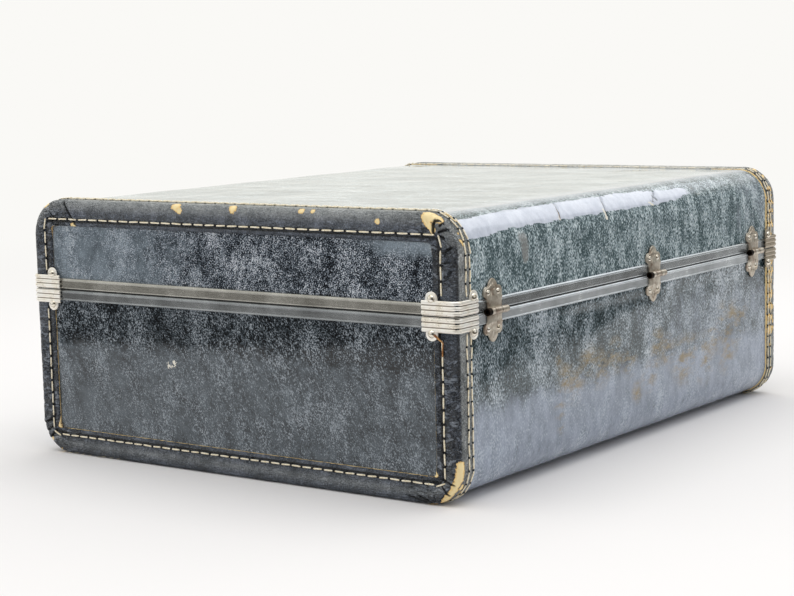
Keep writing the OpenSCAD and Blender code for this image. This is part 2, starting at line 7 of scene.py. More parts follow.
# %% Load the solids
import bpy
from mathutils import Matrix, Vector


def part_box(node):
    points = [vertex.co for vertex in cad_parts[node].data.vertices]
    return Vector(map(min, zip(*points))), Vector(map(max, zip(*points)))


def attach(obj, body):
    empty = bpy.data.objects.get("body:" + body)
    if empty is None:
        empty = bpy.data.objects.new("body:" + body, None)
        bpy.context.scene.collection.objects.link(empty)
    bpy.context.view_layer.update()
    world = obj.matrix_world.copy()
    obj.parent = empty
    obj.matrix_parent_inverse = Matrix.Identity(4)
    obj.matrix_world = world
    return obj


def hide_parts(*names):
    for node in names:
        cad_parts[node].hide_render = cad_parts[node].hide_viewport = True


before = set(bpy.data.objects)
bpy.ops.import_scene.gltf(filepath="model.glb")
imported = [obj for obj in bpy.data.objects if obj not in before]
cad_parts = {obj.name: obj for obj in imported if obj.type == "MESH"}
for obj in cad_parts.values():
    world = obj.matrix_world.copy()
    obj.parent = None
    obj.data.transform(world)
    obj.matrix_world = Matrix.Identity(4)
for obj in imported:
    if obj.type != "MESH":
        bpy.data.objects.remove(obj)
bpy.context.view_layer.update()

# %% Tools and units
import math
import random

import bmesh
import bpy
from mathutils import Matrix, Vector, noise

MM = 0.001
scene = bpy.context.scene
scene.view_settings.view_transform = "Standard"

# %% [markdown]
# The shapes are drawn in millimetres, as a case maker would measure them, and turned to metres when
# a piece is kept. The main sizes are read from the solids, so that nothing drifts away from them.

# %% Main sizes of the case, in millimetres
END_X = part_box("base_binding_right")[1].x / MM
SIDE_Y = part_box("base_binding_right")[1].y / MM
LID_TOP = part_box("lid_binding_right")[1].z / MM
BASE_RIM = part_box("base_rail_back")[1].z / MM
LID_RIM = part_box("lid_rail_back")[0].z / MM
PARTING = (BASE_RIM + LID_RIM) / 2
BASE_DEPTH = BASE_RIM
LID_DEPTH = LID_TOP - LID_RIM
RAIL_HEIGHT = BASE_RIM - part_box("base_rail_back")[0].z / MM
FIBRE_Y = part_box("base_covering")[1].y / MM
EDGE = 25
LEATHER = 1.6
BAND_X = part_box("base_binding_right")[0].x / MM
BORDER = 18
ROLL = 4
print(f"ends at x {END_X:.1f}, walls at y {SIDE_Y:.1f}, lid top at z {LID_TOP:.1f}, parting {PARTING:.1f}")

# %% [markdown]
# Paint charts and photographs give colours as sRGB, but a renderer adds up light, so each hex value
# is turned to linear once, here. One small function adds a shader node, with its settings and links.

# %% Colours and nodes
def linear(code):
    """An sRGB hex colour as linear RGBA."""
    parts = [int(code[i:i + 2], 16) / 255 for i in (1, 3, 5)]
    return [p / 12.92 if p <= 0.04045 else ((p + 0.055) / 1.055) ** 2.4 for p in parts] + [1]


def add(tree, kind, stops=None, **values):
    """Adds a node. A small letter starts a setting, a capital starts a socket, _N is socket N."""
    node = tree.nodes.new("ShaderNode" + kind)
    for key, value in values.items():
        if key[0].islower():
            setattr(node, key, value)
            continue
        socket = node.inputs[int(key[1:]) if key[0] == "_" else key.replace("_", " ")]
        if isinstance(value, bpy.types.Node):
            value = value.outputs[0]
        if isinstance(value, bpy.types.NodeSocket):
            tree.links.new(value, socket)
        else:
            socket.default_value = linear(value) if isinstance(value, str) else value
    for number, (position, colour) in enumerate(stops or []):
        elements = node.color_ramp.elements
        element = elements[number] if number < 2 else elements.new(position)
        element.position = position
        element.color = linear(colour)
    return node


def finish(name, **settings):
    """A new material with one Principled shader and its plain sockets set."""
    made = bpy.data.materials.new(name)
    made.use_nodes = True
    tree = made.node_tree
    tree.nodes.clear()
    shader = add(tree, "BsdfPrincipled", **settings)
    add(tree, "OutputMaterial", Surface=shader)
    place = add(tree, "TexCoord").outputs["Object"]
    return made, tree, shader, place


def wire(tree, shader, **values):
    """Links what was worked out to a shader's sockets."""
    for key, value in values.items():
        tree.links.new(value.outputs[0], shader.inputs[key.replace("_", " ")])


def cells(size):
    """Scale of a noise whose blotches measure that many millimetres."""
    return 1 / (size * MM)


print("white is", [round(v, 2) for v in linear("#ffffff")], "and mid grey", [round(v, 3) for v in linear("#808080")])

# %% [markdown]
# The photograph's viewpoint was found by fitting a camera to the case's own edges: a long lens, a
# little above the lid, looking across the far corner. The three rows below are the camera's right,
# down and forward directions in the case's frame.

# %% Camera
FRAME_WIDTH, FOCAL_PIXELS, SENSOR = 794, 1875, 36
YAW, PITCH, ROLL_ANGLE = math.radians(215.948), math.radians(7.312), math.radians(1.427)
forward = Vector((math.cos(PITCH) * math.cos(YAW), math.cos(PITCH) * math.sin(YAW), -math.sin(PITCH)))
level = forward.cross(Vector((0, 0, 1))).normalized()
drop = forward.cross(level)
turn_c, turn_s = math.cos(ROLL_ANGLE), math.sin(ROLL_ANGLE)
right, down = turn_c * level + turn_s * drop, turn_c * drop - turn_s * level
lens = bpy.data.cameras.new("case_camera")
lens.sensor_width = SENSOR
lens.lens = FOCAL_PIXELS / FRAME_WIDTH * SENSOR
camera = bpy.data.objects.new("case_camera", lens)
scene.collection.objects.link(camera)
camera.matrix_world = Matrix.Translation(Vector((1130.3, 792.7, 269.5)) * MM) @ Matrix(
    (right, -down, -forward)).transposed().to_4x4()
scene.camera = camera
print(f"lens {lens.lens:.1f} mm, camera {camera.location.length:.2f} m from the case")

# %% [markdown]
# The studio is plain: a low wide window-like lamp high beyond the far end of the case, whose
# reflection lies along the rounded edge over a pale highlight band painted on the lacquer, and a
# soft lamp overhead. The world is bright behind the case and dark straight behind the camera, as a
# white sweep in a room is. Camera rays see plain white, so the background takes no extra light. A
# dim wall, which only mirror images show, keeps the lacquer dark between the white table and the
# bright band.

# %% World, lamps and floor
world = bpy.data.worlds.new("white_sweep_in_a_room")
scene.world = world
world.use_nodes = True
sky = world.node_tree
sky.nodes.clear()
look = add(sky, "TexCoord").outputs["Generated"]
facing = add(sky, "VectorMath", operation="DOT_PRODUCT", _0=look, _1=(0.80, 0.58, 0.06)).outputs["Value"]
room = add(sky, "ValToRGB", Fac=add(sky, "MapRange", Value=facing, From_Min=-1.0, From_Max=1.0),
           stops=[(0.25, "#f9f8f1"), (0.62, "#e9e9e8"), (0.86, "#d2d0cd"), (0.97, "#4a4744")])
path = add(sky, "LightPath")
rays = path.outputs["Is Camera Ray"]
wall = add(sky, "VectorMath", operation="DOT_PRODUCT", _0=look, _1=(-0.80, 0.58, 0.14)).outputs["Value"]
wall = add(sky, "MapRange", Value=wall, From_Min=0.84, From_Max=0.95, To_Max=0.85)
wall = add(sky, "Math", operation="MULTIPLY", _0=wall, _1=path.outputs["Is Glossy Ray"])
room = add(sky, "MixRGB", Fac=wall, Color1=room, Color2="#646a6d")
seen = add(sky, "MixRGB", Fac=rays, Color1=room, Color2="#faf9f6")
power = add(sky, "MapRange", Value=rays, To_Min=1.05, To_Max=1.0)
add(sky, "OutputWorld", Surface=add(sky, "Background", Color=seen, Strength=power))


def soft_lamp(name, place, towards, power, width, height, colour):
    """A square-edged soft lamp that faces the given way."""
    light = bpy.data.lights.new(name, "AREA")
    light.shape = "RECTANGLE"
    light.size, light.size_y, light.energy = width, height, power
    light.color = linear(colour)[:3]
    lamp = bpy.data.objects.new(name, light)
    lamp.location = place
    lamp.rotation_euler = Vector(towards).to_track_quat("-Z", "Y").to_euler()
    lamp.visible_camera = False
    scene.collection.objects.link(lamp)
    return lamp


soft_lamp("window_lamp", (-1.75, 0.275, 1.25), (1, 0, 0), 2.2, 1.05, 0.62, "#eceffb")
soft_lamp("overhead_lamp", (0.15, 0.2, 2.2), (0, 0, -1), 25, 2.6, 2.6, "#fffefb")

grid = bmesh.new()
bmesh.ops.create_circle(grid, cap_ends=True, segments=96, radius=5)
floor_mesh = bpy.data.meshes.new("studio_floor")
grid.to_mesh(floor_mesh)
grid.free()
floor = bpy.data.objects.new("studio_floor", floor_mesh)
scene.collection.objects.link(floor)

# %% [markdown]
# The floor is a white table top. Seen directly it runs softly into the white background. Its
# mirror image ends at the table's two near edges, beyond which the room is dark: this, together
# with painted reflections low on the fibre, puts a lighter lower part and a darker upper part on the
# lacquered sides of the case.

# %% Floor finish
paper = bpy.data.materials.new("white_painted_table")
paper.use_nodes = True
sheet = paper.node_tree
sheet.nodes.clear()
spot = add(sheet, "TexCoord").outputs["Object"]
away = add(sheet, "VectorMath", operation="LENGTH", _0=spot).outputs["Value"]
far = add(sheet, "MapRange", Value=away, From_Min=0.5, From_Max=1.7, interpolation_type="SMOOTHSTEP")
eye = add(sheet, "LightPath")
fades = add(sheet, "Math", operation="MULTIPLY", _0=far, _1=eye.outputs["Is Camera Ray"])
matt = add(sheet, "BsdfDiffuse", Color="#eeedef")
glow = add(sheet, "Emission", Color="#faf9f6", Strength=1.0)
table = add(sheet, "MixShader", _0=fades, _1=matt, _2=glow)
edge_x = add(sheet, "VectorMath", operation="DOT_PRODUCT", _0=spot, _1=(1, -0.33, 0)).outputs["Value"]
edge_y = add(sheet, "VectorMath", operation="DOT_PRODUCT", _0=spot, _1=(0.23, 1, 0)).outputs["Value"]
past_x = add(sheet, "MapRange", Value=edge_x, From_Min=0.755, From_Max=0.79)
past_y = add(sheet, "MapRange", Value=edge_y, From_Min=0.345, From_Max=0.38)
beyond = add(sheet, "Math", operation="MULTIPLY", _1=eye.outputs["Is Glossy Ray"], _0=add(
    sheet, "Math", operation="MAXIMUM", _0=past_x, _1=past_y))
dark_room = add(sheet, "Emission", Color="#5b5651", Strength=1.0)
add(sheet, "OutputMaterial", Surface=add(sheet, "MixShader", _0=beyond, _1=table, _2=dark_room))
floor_mesh.materials.append(paper)

# %% [markdown]
# A piece is modelled in a bmesh and then kept: scaled to metres, made an object, given its finishes
# and hung on the body that it moves with. Soft shading is cut at sharp edges by angle.

# %% Keeping a finished piece
def keep(bm, name, body, finishes, nodes=(), sharp=35, walls=None, softened=None, paint=None):
    """Makes a bmesh in millimetres a finished object that rides on a body."""
    bmesh.ops.scale(bm, vec=(MM, MM, MM), verts=bm.verts)
    bm.normal_update()
    mesh = bpy.data.meshes.new(name)
    bm.to_mesh(mesh)
    bm.free()
    mesh.shade_smooth()
    mesh.set_sharp_from_angle(angle=math.radians(sharp))
    for made in finishes:
        mesh.materials.append(made)
    for title, amount in (paint or {}).items():
        layer = mesh.attributes.new(title, "FLOAT", "POINT")
        layer.data.foreach_set("value", [amount(v.co / MM) for v in mesh.vertices])
    piece = bpy.data.objects.new(name, mesh)
    scene.collection.objects.link(piece)
    if walls:
        wall = piece.modifiers.new("thickness", "SOLIDIFY")
        wall.thickness, wall.offset = walls * MM, -1
        wall.material_offset_rim = len(finishes) - 1
        wall.use_even_offset = True
    if softened:
        round_off = piece.modifiers.new("softened_edges", "BEVEL")
        round_off.width, round_off.segments, round_off.limit_method = softened * MM, 2, "ANGLE"
        round_off.angle_limit = math.radians(40)
    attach(piece, body)
    if nodes:
        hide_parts(*nodes)
    print(f"{name}: {len(mesh.polygons)} faces")
    return piece


def template(bm):
    """Keeps a small shape for stamping many copies."""
    mesh = bpy.data.meshes.new("template")
    bm.to_mesh(mesh)
    bm.free()
    return mesh


def stamp(bm, shape, matrix):
    """Adds a moved copy of a shape; a mirrored copy has its faces turned back outwards."""
    verts, faces = len(bm.verts), len(bm.faces)
    bm.from_mesh(shape)
    bm.verts.ensure_lookup_table()
    bm.faces.ensure_lookup_table()
    bmesh.ops.transform(bm, matrix=matrix, verts=bm.verts[verts:])
    if matrix.determinant() < 0:
        bmesh.ops.reverse_faces(bm, faces=bm.faces[faces:])


MIRROR_X = Matrix.Diagonal((-1, 1, 1, 1))
MIRROR_Y = Matrix.Diagonal((1, -1, 1, 1))
ON_LID = Matrix.Translation((0, 0, LID_TOP)) @ Matrix.Diagonal((1, 1, -1, 1))
HALVES = {"base": (BASE_DEPTH, Matrix.Identity(4)), "lid": (LID_DEPTH, ON_LID)}
ENDS = {"right": Matrix.Identity(4), "left": MIRROR_X}

# %% [markdown]
# Both halves of the case share one outline: down a wall, round a 25 mm edge, across, round and up
# the other wall. A strip of edges, or a single corner point, is carried along it with the spin
# operator: an angle of nothing with a step makes a straight run, and a quarter turn makes the edge.

# %% Sweeping along a half of the case
def run(bm, geom, vector, step):
    """Carries geometry straight, in steps of about the given length."""
    vector = Vector(vector)
    steps = max(1, round(vector.length / step))
    return bmesh.ops.spin(bm, geom=geom, cent=(0, 0, 0), axis=(1, 0, 0), dvec=vector / steps, angle=0,
                          steps=steps, use_duplicate=False)["geom_last"]


def turn(bm, geom, centre, degrees, steps, axis=(1, 0, 0)):
    """Carries geometry round a centre."""
    return bmesh.ops.spin(bm, geom=geom, cent=centre, axis=axis, dvec=(0, 0, 0),
                          angle=math.radians(degrees), steps=steps, use_duplicate=False)["geom_last"]


def sweep_half(bm, geom, top, step, corner_steps):
    """Carries geometry from the rim at the back, round the case, to the rim at the front."""
    wall, flat = top - EDGE, SIDE_Y - EDGE
    geom = run(bm, geom, (0, 0, -wall), step)
    geom = turn(bm, geom, (0, flat, EDGE), -90, corner_steps)
    geom = run(bm, geom, (0, -2 * flat, 0), step)
    geom = turn(bm, geom, (0, -flat, EDGE), -90, corner_steps)
    run(bm, geom, (0, 0, wall), step)
    bmesh.ops.remove_doubles(bm, verts=bm.verts, dist=0.001)


def face_out(bm, centre=(0, 0, 80)):
    """Turns the faces of an open sheet away from the middle of the case."""
    bmesh.ops.recalc_face_normals(bm, faces=bm.faces)
    if sum((f.calc_center_median() - Vector(centre)).dot(f.normal) for f in bm.faces) < 0:
        bmesh.ops.reverse_faces(bm, faces=bm.faces)
    bm.normal_update()


def inset_of(y, z):
    """How far a point of an end face lies inside the outline of its half, drawn as the base."""
    dy, dz = abs(y) - (SIDE_Y - EDGE), EDGE - z
    return EDGE - math.hypot(dy, dz) if dy > 0 and dz > 0 else EDGE - max(dy, dz)


def wobble(point, size, seed=0):
    """Smooth noise from -1 to 1, with blotches of that many millimetres."""
    return noise.noise(point / size + Vector((seed * 7.3, seed * 3.1, seed * 1.7)))


def ease(value, low, high):
    """0 below low, 1 above high and smooth between them."""
    t = min(1, max(0, (value - low) / (high - low)))
    return t * t * (3 - 2 * t)


def near(point, spots):
    """Closeness to round spots or thick lines: 1 in a middle, 0.5 on an edge and 0 far off."""
    best = 0
    for spot in spots:
        start, end, radius = Vector(spot[:3]), Vector(spot[-4:-1]), spot[-1]
        line = end - start
        share = 0 if line.length < 0.001 else min(1, max(0, (point - start).dot(line) / line.length_squared))
        best = max(best, 1 - (point - start - share * line).length / radius / 2)
    return best


# %% [markdown]
# The covering is vulcanised fibre: paper pressed hard, printed with a slate mottle and lacquered.
# It is glued over a bent board, so it shows shallow dents and long low wrinkles where the glue let
# go, and these break up its reflections. The mottle follows the sheet, so on the walls it runs up
# and down and on top it runs from front to back. The colour could be an image, but layered noises
# at the sizes of the real flecks work at any distance. Age is added as painted areas: rust stains,
# a faded patch, chips and three cracks. Light is painted in as well: a pale highlight band along the
# lid's rounded back edge, a few pale glints beside its cracks, and pale painted reflections on the
# lid's edge and ends and low on the base.

# %% Lacquered fibre
def painted(tree, title, ragged, low, high, most=1.0):
    """A painted area of the mesh, its border torn by a noise, as a mask."""
    area = add(tree, "Attribute", attribute_name=title).outputs["Fac"]
    return add(tree, "MapRange", Value=add(tree, "Math", operation="ADD", _0=area, _1=ragged),
               From_Min=low, From_Max=high, To_Max=most)


def lacquered_fibre(name, fleck, stretch, streak, tones, relief, painted_reflection_tone="#9aa1aa", roughness=(0.05, 0.10), lean=0.0,
                    patchy=0.34):
    """Mottled slate fibre under glossy lacquer: flecks, clumps and streaks along the sheet."""
    made, tree, shader, place = finish(name, Roughness=0.1, IOR=1.5)
    drawn = add(tree, "Mapping", Vector=add(tree, "Mapping", Vector=place, Rotation=(lean, 0, 0)), Scale=stretch)
    flecks = add(tree, "TexNoise", Vector=drawn, Scale=cells(fleck), Detail=1.5, Roughness=0.6)
    clumps = add(tree, "TexNoise", Vector=drawn, Scale=cells(fleck * 4), Detail=2, Roughness=0.6)
    drips = add(tree, "TexNoise", Vector=add(tree, "Mapping", Vector=place, Scale=streak), Scale=cells(13), Detail=3)
    mottle = add(tree, "Math", operation="MULTIPLY_ADD", _0=clumps, _1=0.28, _2=add(
        tree, "Math", operation="MULTIPLY", _0=flecks, _1=0.72))
    mottle = add(tree, "Math", operation="MULTIPLY_ADD", _0=drips, _1=patchy, _2=mottle)
    colour = add(tree, "ValToRGB", Fac=mottle, stops=tones)
    ragged = add(tree, "TexNoise", Vector=drawn, Scale=cells(8), Detail=5, Roughness=0.65)
    # Painted reflection: a paler tone laid where bright surroundings reflect, on the lid's back edge, corners and ends,
    # and low on the base's walls and ends.
    painted_reflection = painted(tree, "painted_reflection", ragged, 0.62, 1.35, 0.8)
    colour = add(tree, "MixRGB", Fac=painted_reflection, Color1=colour, Color2=painted_reflection_tone)
    # Painted highlight: the bright band along the lid's rounded back edge is painted pale, torn at its borders.
    painted_highlight = painted(tree, "painted_highlight", ragged, 0.96, 1.08, 0.9)
    colour = add(tree, "MixRGB", Fac=painted_highlight, Color1=colour, Color2=add(
        tree, "ValToRGB", Fac=ragged, stops=[(0.38, "#bfc6d6"), (0.60, "#d3d9e7")]))
    smears = add(tree, "TexNoise", Vector=add(tree, "Mapping", Vector=place, Scale=(0.5, 1, 1.3)), Scale=cells(9), Detail=6,
                 Roughness=0.7)
    smears = add(tree, "MapRange", Value=smears, From_Min=0.44, From_Max=0.62)
    around = add(tree, "Attribute", attribute_name="stain").outputs["Fac"]
    rust = add(tree, "Math", operation="MULTIPLY", _0=smears, _1=add(
        tree, "MapRange", Value=around, From_Min=0.05, From_Max=0.75, To_Max=0.8))
    colour = add(tree, "MixRGB", Fac=rust, Color1=colour, Color2="#94815a")
    faded = painted(tree, "faded", ragged, 0.95, 1.15, 0.7)
    colour = add(tree, "MixRGB", Fac=faded, Color1=colour, Color2="#8b8b89")
    crack = add(tree, "Attribute", attribute_name="crack").outputs["Fac"]
    slit = add(tree, "MapRange", Value=crack, From_Min=0.45, From_Max=0.65, To_Max=0.95)
    colour = add(tree, "MixRGB", Fac=slit, Color1=colour, Color2="#465054")
    # Chips, and the pale glints painted as highlights beside the cracks, share this mask and colour.
    chips_and_glints = painted(tree, "chips_and_glints", add(tree, "TexNoise", Vector=place, Scale=cells(1.6), Detail=2), 1.12, 1.16)
    colour = add(tree, "MixRGB", Fac=chips_and_glints, Color1=colour, Color2="#e6e2d6")
    wire(tree, shader, Base_Color=colour)
    dull = add(tree, "MapRange", Value=clumps, From_Min=0.35, From_Max=0.65,
               To_Min=roughness[0], To_Max=roughness[1])
    dull = add(tree, "Math", operation="MULTIPLY_ADD", _0=rust, _1=0.35, _2=dull)
    wire(tree, shader, Roughness=add(tree, "Math", operation="MULTIPLY_ADD", use_clamp=True, _0=painted_reflection, _1=0.04, _2=dull))
    waves = add(tree, "TexNoise", Vector=drawn, Scale=cells(fleck * 6), Detail=1)
    height = add(tree, "Math", operation="MULTIPLY_ADD", _0=waves, _1=2.5, _2=add(
        tree, "Math", operation="MULTIPLY", _0=flecks, _1=0.4))
    height = add(tree, "Math", operation="MULTIPLY_ADD", _0=slit, _1=-5, _2=height)
    wire(tree, shader, Normal=add(tree, "Bump", Height=height, Strength=1.0, Distance=relief * MM))
    return made


# The wrap, walls and top, takes lighter tones than the end panels of the same fibre: painted light, the lit faces drawn
# lighter and the ends darker.
LID_WALLS_PAINTED_LIT = [(0.63, "#3e4f53"), (0.69, "#6a7b82"), (0.74, "#97a7ac"), (0.80, "#bac8cf"), (0.87, "#d9e2e6")]
BASE_WALLS_PAINTED_LIT = [(0.63, "#202c30"), (0.695, "#445257"), (0.755, "#6b787f"), (0.815, "#98a3ac"), (0.88, "#bec6ce")]
LID_ENDS = [(0.58, "#0c1117"), (0.64, "#2a3139"), (0.69, "#59636e"), (0.75, "#9ba4af"), (0.82, "#d6dae1")]
BASE_ENDS = [(0.58, "#0a0e12"), (0.64, "#1f262b"), (0.69, "#3a4249"), (0.75, "#6c757d"), (0.82, "#a5acb4")]
lit_fibre_walls = {
    "lid": lacquered_fibre("lacquered_fibre_lid_wrap_painted_lit", 0.78, (1, 0.7, 0.48), (1, 0.3, 0.4), LID_WALLS_PAINTED_LIT, 0.010, "#b4bac7", patchy=0.38),
    "base": lacquered_fibre("lacquered_fibre_base_wrap_painted_lit", 0.8, (1, 0.6, 0.5), (0.7, 0.4, 0.5), BASE_WALLS_PAINTED_LIT, 0.016, "#a4aec1", patchy=0.44),
}
fibre_ends = {
    "lid": lacquered_fibre("lacquered_fibre_lid_end", 0.78, (1, 1, 0.9), (1, 0.6, 0.5), LID_ENDS, 0.012, "#93a1ac", lean=0.3),
    "base": lacquered_fibre("lacquered_fibre_base_end", 0.7, (1, 1, 0.6), (1, 0.7, 0.4), BASE_ENDS, 0.012, "#77828b", lean=-0.5),
}
cut_fibre = lacquered_fibre("cut_edge_of_fibre", 0.6, (1, 1, 1), (1, 1, 1), [(0.5, "#3a3c3a"), (0.8, "#7d7b72")], 0.05,
                            roughness=(0.6, 0.8))

# %% [markdown]
# The bindings are cowhide dyed slate blue, cut as strips, soaked, pulled over the edges of the ends
# and sewn. Their grain is a net of small creases. Rubbing takes the dyed face off the corners and
# leaves tan and cream fibres, so the material reads how worn each place is from the mesh.

# %% Sewn leather
def dyed_leather(name, face, deep, pale):
    """Dyed cowhide, creased, with painted shade in its folds and a painted sheen, and rubbed through to its fibres
    where the mesh says so.
    """
    made, tree, shader, place = finish(name, Roughness=0.4, IOR=1.5)
    grain = add(tree, "TexVoronoi", Vector=place, Scale=cells(1.5), feature="DISTANCE_TO_EDGE", Randomness=1.0)
    net = add(tree, "MapRange", Value=grain, From_Max=0.25)
    pores = add(tree, "TexNoise", Vector=place, Scale=cells(1.0), Detail=2, Roughness=0.6)
    patches = add(tree, "TexNoise", Vector=place, Scale=cells(12), Detail=4, Roughness=0.6)
    blend = add(tree, "Math", operation="MULTIPLY_ADD", _0=pores, _1=0.5, _2=add(
        tree, "Math", operation="MULTIPLY", _0=patches, _1=0.55))
    colour = add(tree, "ValToRGB", Fac=blend, stops=[(0.40, deep), (0.53, face), (0.66, pale)])
    colour = add(tree, "MixRGB", blend_type="MULTIPLY", Fac=0.4, Color1=colour, Color2=net)
    folded = add(tree, "TexNoise", Vector=add(tree, "Mapping", Vector=place, Rotation=(0.7, 0, 0), Scale=(1, 0.35, 1)),
                 Scale=cells(3.2), Detail=2, Roughness=0.55, Distortion=0.8)
    line = add(tree, "Math", operation="ABSOLUTE", _0=add(tree, "Math", operation="SUBTRACT", _0=folded, _1=0.5))
    line = add(tree, "MapRange", Value=line, From_Max=0.09, To_Min=1.0, To_Max=0.0)
    crumple = add(tree, "Attribute", attribute_name="crumple").outputs["Fac"]
    # Painted shade: thin dark lines along the creases where the leather is crumpled.
    wrinkle_and_shade = add(tree, "Math", operation="MULTIPLY", _0=line, _1=crumple)
    colour = add(tree, "MixRGB", Fac=add(tree, "Math", operation="MULTIPLY", _0=wrinkle_and_shade, _1=0.85), Color1=colour, Color2="#12161a")
    # Painted highlight: the crests beside the creases are drawn paler.
    ridge = add(tree, "Math", operation="MULTIPLY", _0=crumple, _1=add(
        tree, "MapRange", Value=folded, From_Min=0.55, From_Max=0.68, To_Max=0.6))
    colour = add(tree, "MixRGB", Fac=ridge, Color1=colour, Color2="#949ca7")
    # Painted sheen: faces that catch the light, such as the long faces by the roll and the rolls' tops, are drawn
    # paler.
    painted_sheen = add(tree, "Attribute", attribute_name="painted_sheen").outputs["Fac"]
    colour = add(tree, "MixRGB", Fac=painted_sheen, Color1=colour, Color2=add(
        tree, "ValToRGB", Fac=blend, stops=[(0.40, "#7b8286"), (0.53, "#abb0b2"), (0.66, "#c6c9c8")]))
    # Painted highlight: past the sheen's top the leather turns near white, along the far lid binding's top.
    painted_top_glare = add(tree, "MapRange", Value=painted_sheen, From_Min=1.0, From_Max=1.4)
    colour = add(tree, "MixRGB", Fac=painted_top_glare, Color1=colour, Color2="#eceae2")
    worn = add(tree, "Attribute", attribute_name="wear").outputs["Fac"]
    fray = add(tree, "TexNoise", Vector=place, Scale=cells(3.2), Detail=5, Roughness=0.7)
    rubbed = add(tree, "Math", operation="ADD", _0=worn, _1=add(tree, "Math", operation="MULTIPLY_ADD",
                                                                _0=fray, _1=0.8, _2=-0.4))
    bare = add(tree, "MapRange", Value=rubbed, From_Min=0.48, From_Max=0.52)
    fibres = add(tree, "ValToRGB", Fac=rubbed, stops=[(0.48, "#60472a"), (0.505, "#cfa763"), (0.55, "#f3d08c"), (0.75, "#f8e3ae")])
    colour = add(tree, "MixRGB", Fac=bare, Color1=colour, Color2=fibres)
    # Painted shade: the folds, the groove under the border's stitches and the side of the roll are darkened.
    painted_shade = add(tree, "Attribute", attribute_name="painted_shade").outputs["Fac"]
    dark = add(tree, "MapRange", Value=painted_shade, From_Min=0.12, From_Max=0.55, To_Max=0.95)
    colour = add(tree, "MixRGB", Fac=dark, Color1=colour, Color2="#0c0e10")
    wire(tree, shader, Base_Color=colour)
    gloss = add(tree, "MapRange", Value=patches, From_Min=0.3, From_Max=0.7, To_Min=0.2, To_Max=0.34)
    wire(tree, shader, Roughness=add(tree, "Math", operation="MULTIPLY_ADD", use_clamp=True, _0=bare, _1=0.35, _2=gloss))
    height = add(tree, "Math", operation="MULTIPLY_ADD", _0=pores, _1=0.6, _2=net)
    height = add(tree, "Math", operation="MULTIPLY_ADD", _0=wrinkle_and_shade, _1=-3.5, _2=height)
    height = add(tree, "MixRGB", Fac=bare, Color1=height, Color2=(-0.9, -0.9, -0.9, 1))
    wire(tree, shader, Normal=add(tree, "Bump", Height=height, Strength=1.0, Distance=0.6 * MM))
    return made


binding_leather = dyed_leather("dyed_cowhide_binding", "#59626f", "#3a424c", "#868fa0")
grip_leather = dyed_leather("dyed_cowhide_grip", "#414d56", "#2e383f", "#57646d")

made, tree, shader, place = finish("raw_leather_edge", Roughness=0.75)
strands = add(tree, "TexNoise", Vector=place, Scale=cells(0.9), Detail=4, Roughness=0.7)
wire(tree, shader, Base_Color=add(tree, "ValToRGB", Fac=strands, stops=[(0.36, "#8f6f45"), (0.5, "#c8a877"), (0.64, "#ecdcb4")]))
wire(tree, shader, Normal=add(tree, "Bump", Height=strands, Strength=0.8, Distance=0.2 * MM))
raw_leather_edge = made

# %% [markdown]
# The thread is heavy waxed linen, cream turned a little brown, and each stitch dips into a needle
# hole at both ends, whose shade is painted as a low near-black rod.

# %% Thread and needle holes
def plain_noise(name, size, stops, relief, **settings):
    """A finish whose colour and relief come from one fine noise, for small or hidden parts."""
    made, tree, shader, place = finish(name, **settings)
    grain = add(tree, "TexNoise", Vector=place, Scale=cells(size), Detail=5, Roughness=0.65)
    wire(tree, shader, Base_Color=add(tree, "ValToRGB", Fac=grain, stops=stops))
    wire(tree, shader, Normal=add(tree, "Bump", Height=grain, Strength=0.7, Distance=relief * MM))
    return made


linen_thread = plain_noise("waxed_linen_thread", 1.2, [(0.32, "#dccaa0"), (0.48, "#f5ead0"), (0.66, "#fffaea")], 0.12, Roughness=0.6)
loose_thread = plain_noise("stained_linen_thread", 1.5, [(0.38, "#7a4a22"), (0.5, "#b3793f"), (0.62, "#d2a66c")], 0.1, Roughness=0.65)
# Painted shade: the needle holes are drawn near-black.
needle_hole_shade = plain_noise("painted_shade_in_needle_hole", 0.8, [(0.4, "#0b0a09"), (0.6, "#1b1815")], 0.05, Roughness=0.9)

# %% [markdown]
# The rails are rolled steel strip with a dulled plating, the clips and nails are nickel plate, and
# the hinges are stamped leaves whose plating has gone brown and pink. A worn metal is told from a
# new one by its roughness: smears and fine scratches change how wide each reflection spreads, so
# the noise drives roughness more than colour.

# %% Metals
def worn_metal(name, tones, blotch, rough, relief, streak=(1, 1, 1), metallic=1.0):
    """Plated metal with blotches of tarnish and fine scratches drawn along one direction."""
    made, tree, shader, place = finish(name, Metallic=metallic)
    tarnish = add(tree, "TexNoise", Vector=place, Scale=cells(blotch), Detail=5, Roughness=0.62)
    drawn = add(tree, "Mapping", Vector=place, Scale=streak)
    scratches = add(tree, "TexNoise", Vector=drawn, Scale=cells(0.5), Detail=3, Roughness=0.7)
    wire(tree, shader, Base_Color=add(tree, "ValToRGB", Fac=tarnish, stops=tones))
    mixed = add(tree, "Math", operation="MULTIPLY_ADD", _0=scratches, _1=0.5, _2=add(
        tree, "Math", operation="MULTIPLY", _0=tarnish, _1=0.5))
    wire(tree, shader, Roughness=add(tree, "MapRange", Value=mixed, From_Min=0.36, From_Max=0.64,
                                     To_Min=rough[0], To_Max=rough[1]))
    wire(tree, shader, Normal=add(tree, "Bump", Height=mixed, Strength=0.6, Distance=relief * MM))
    return made


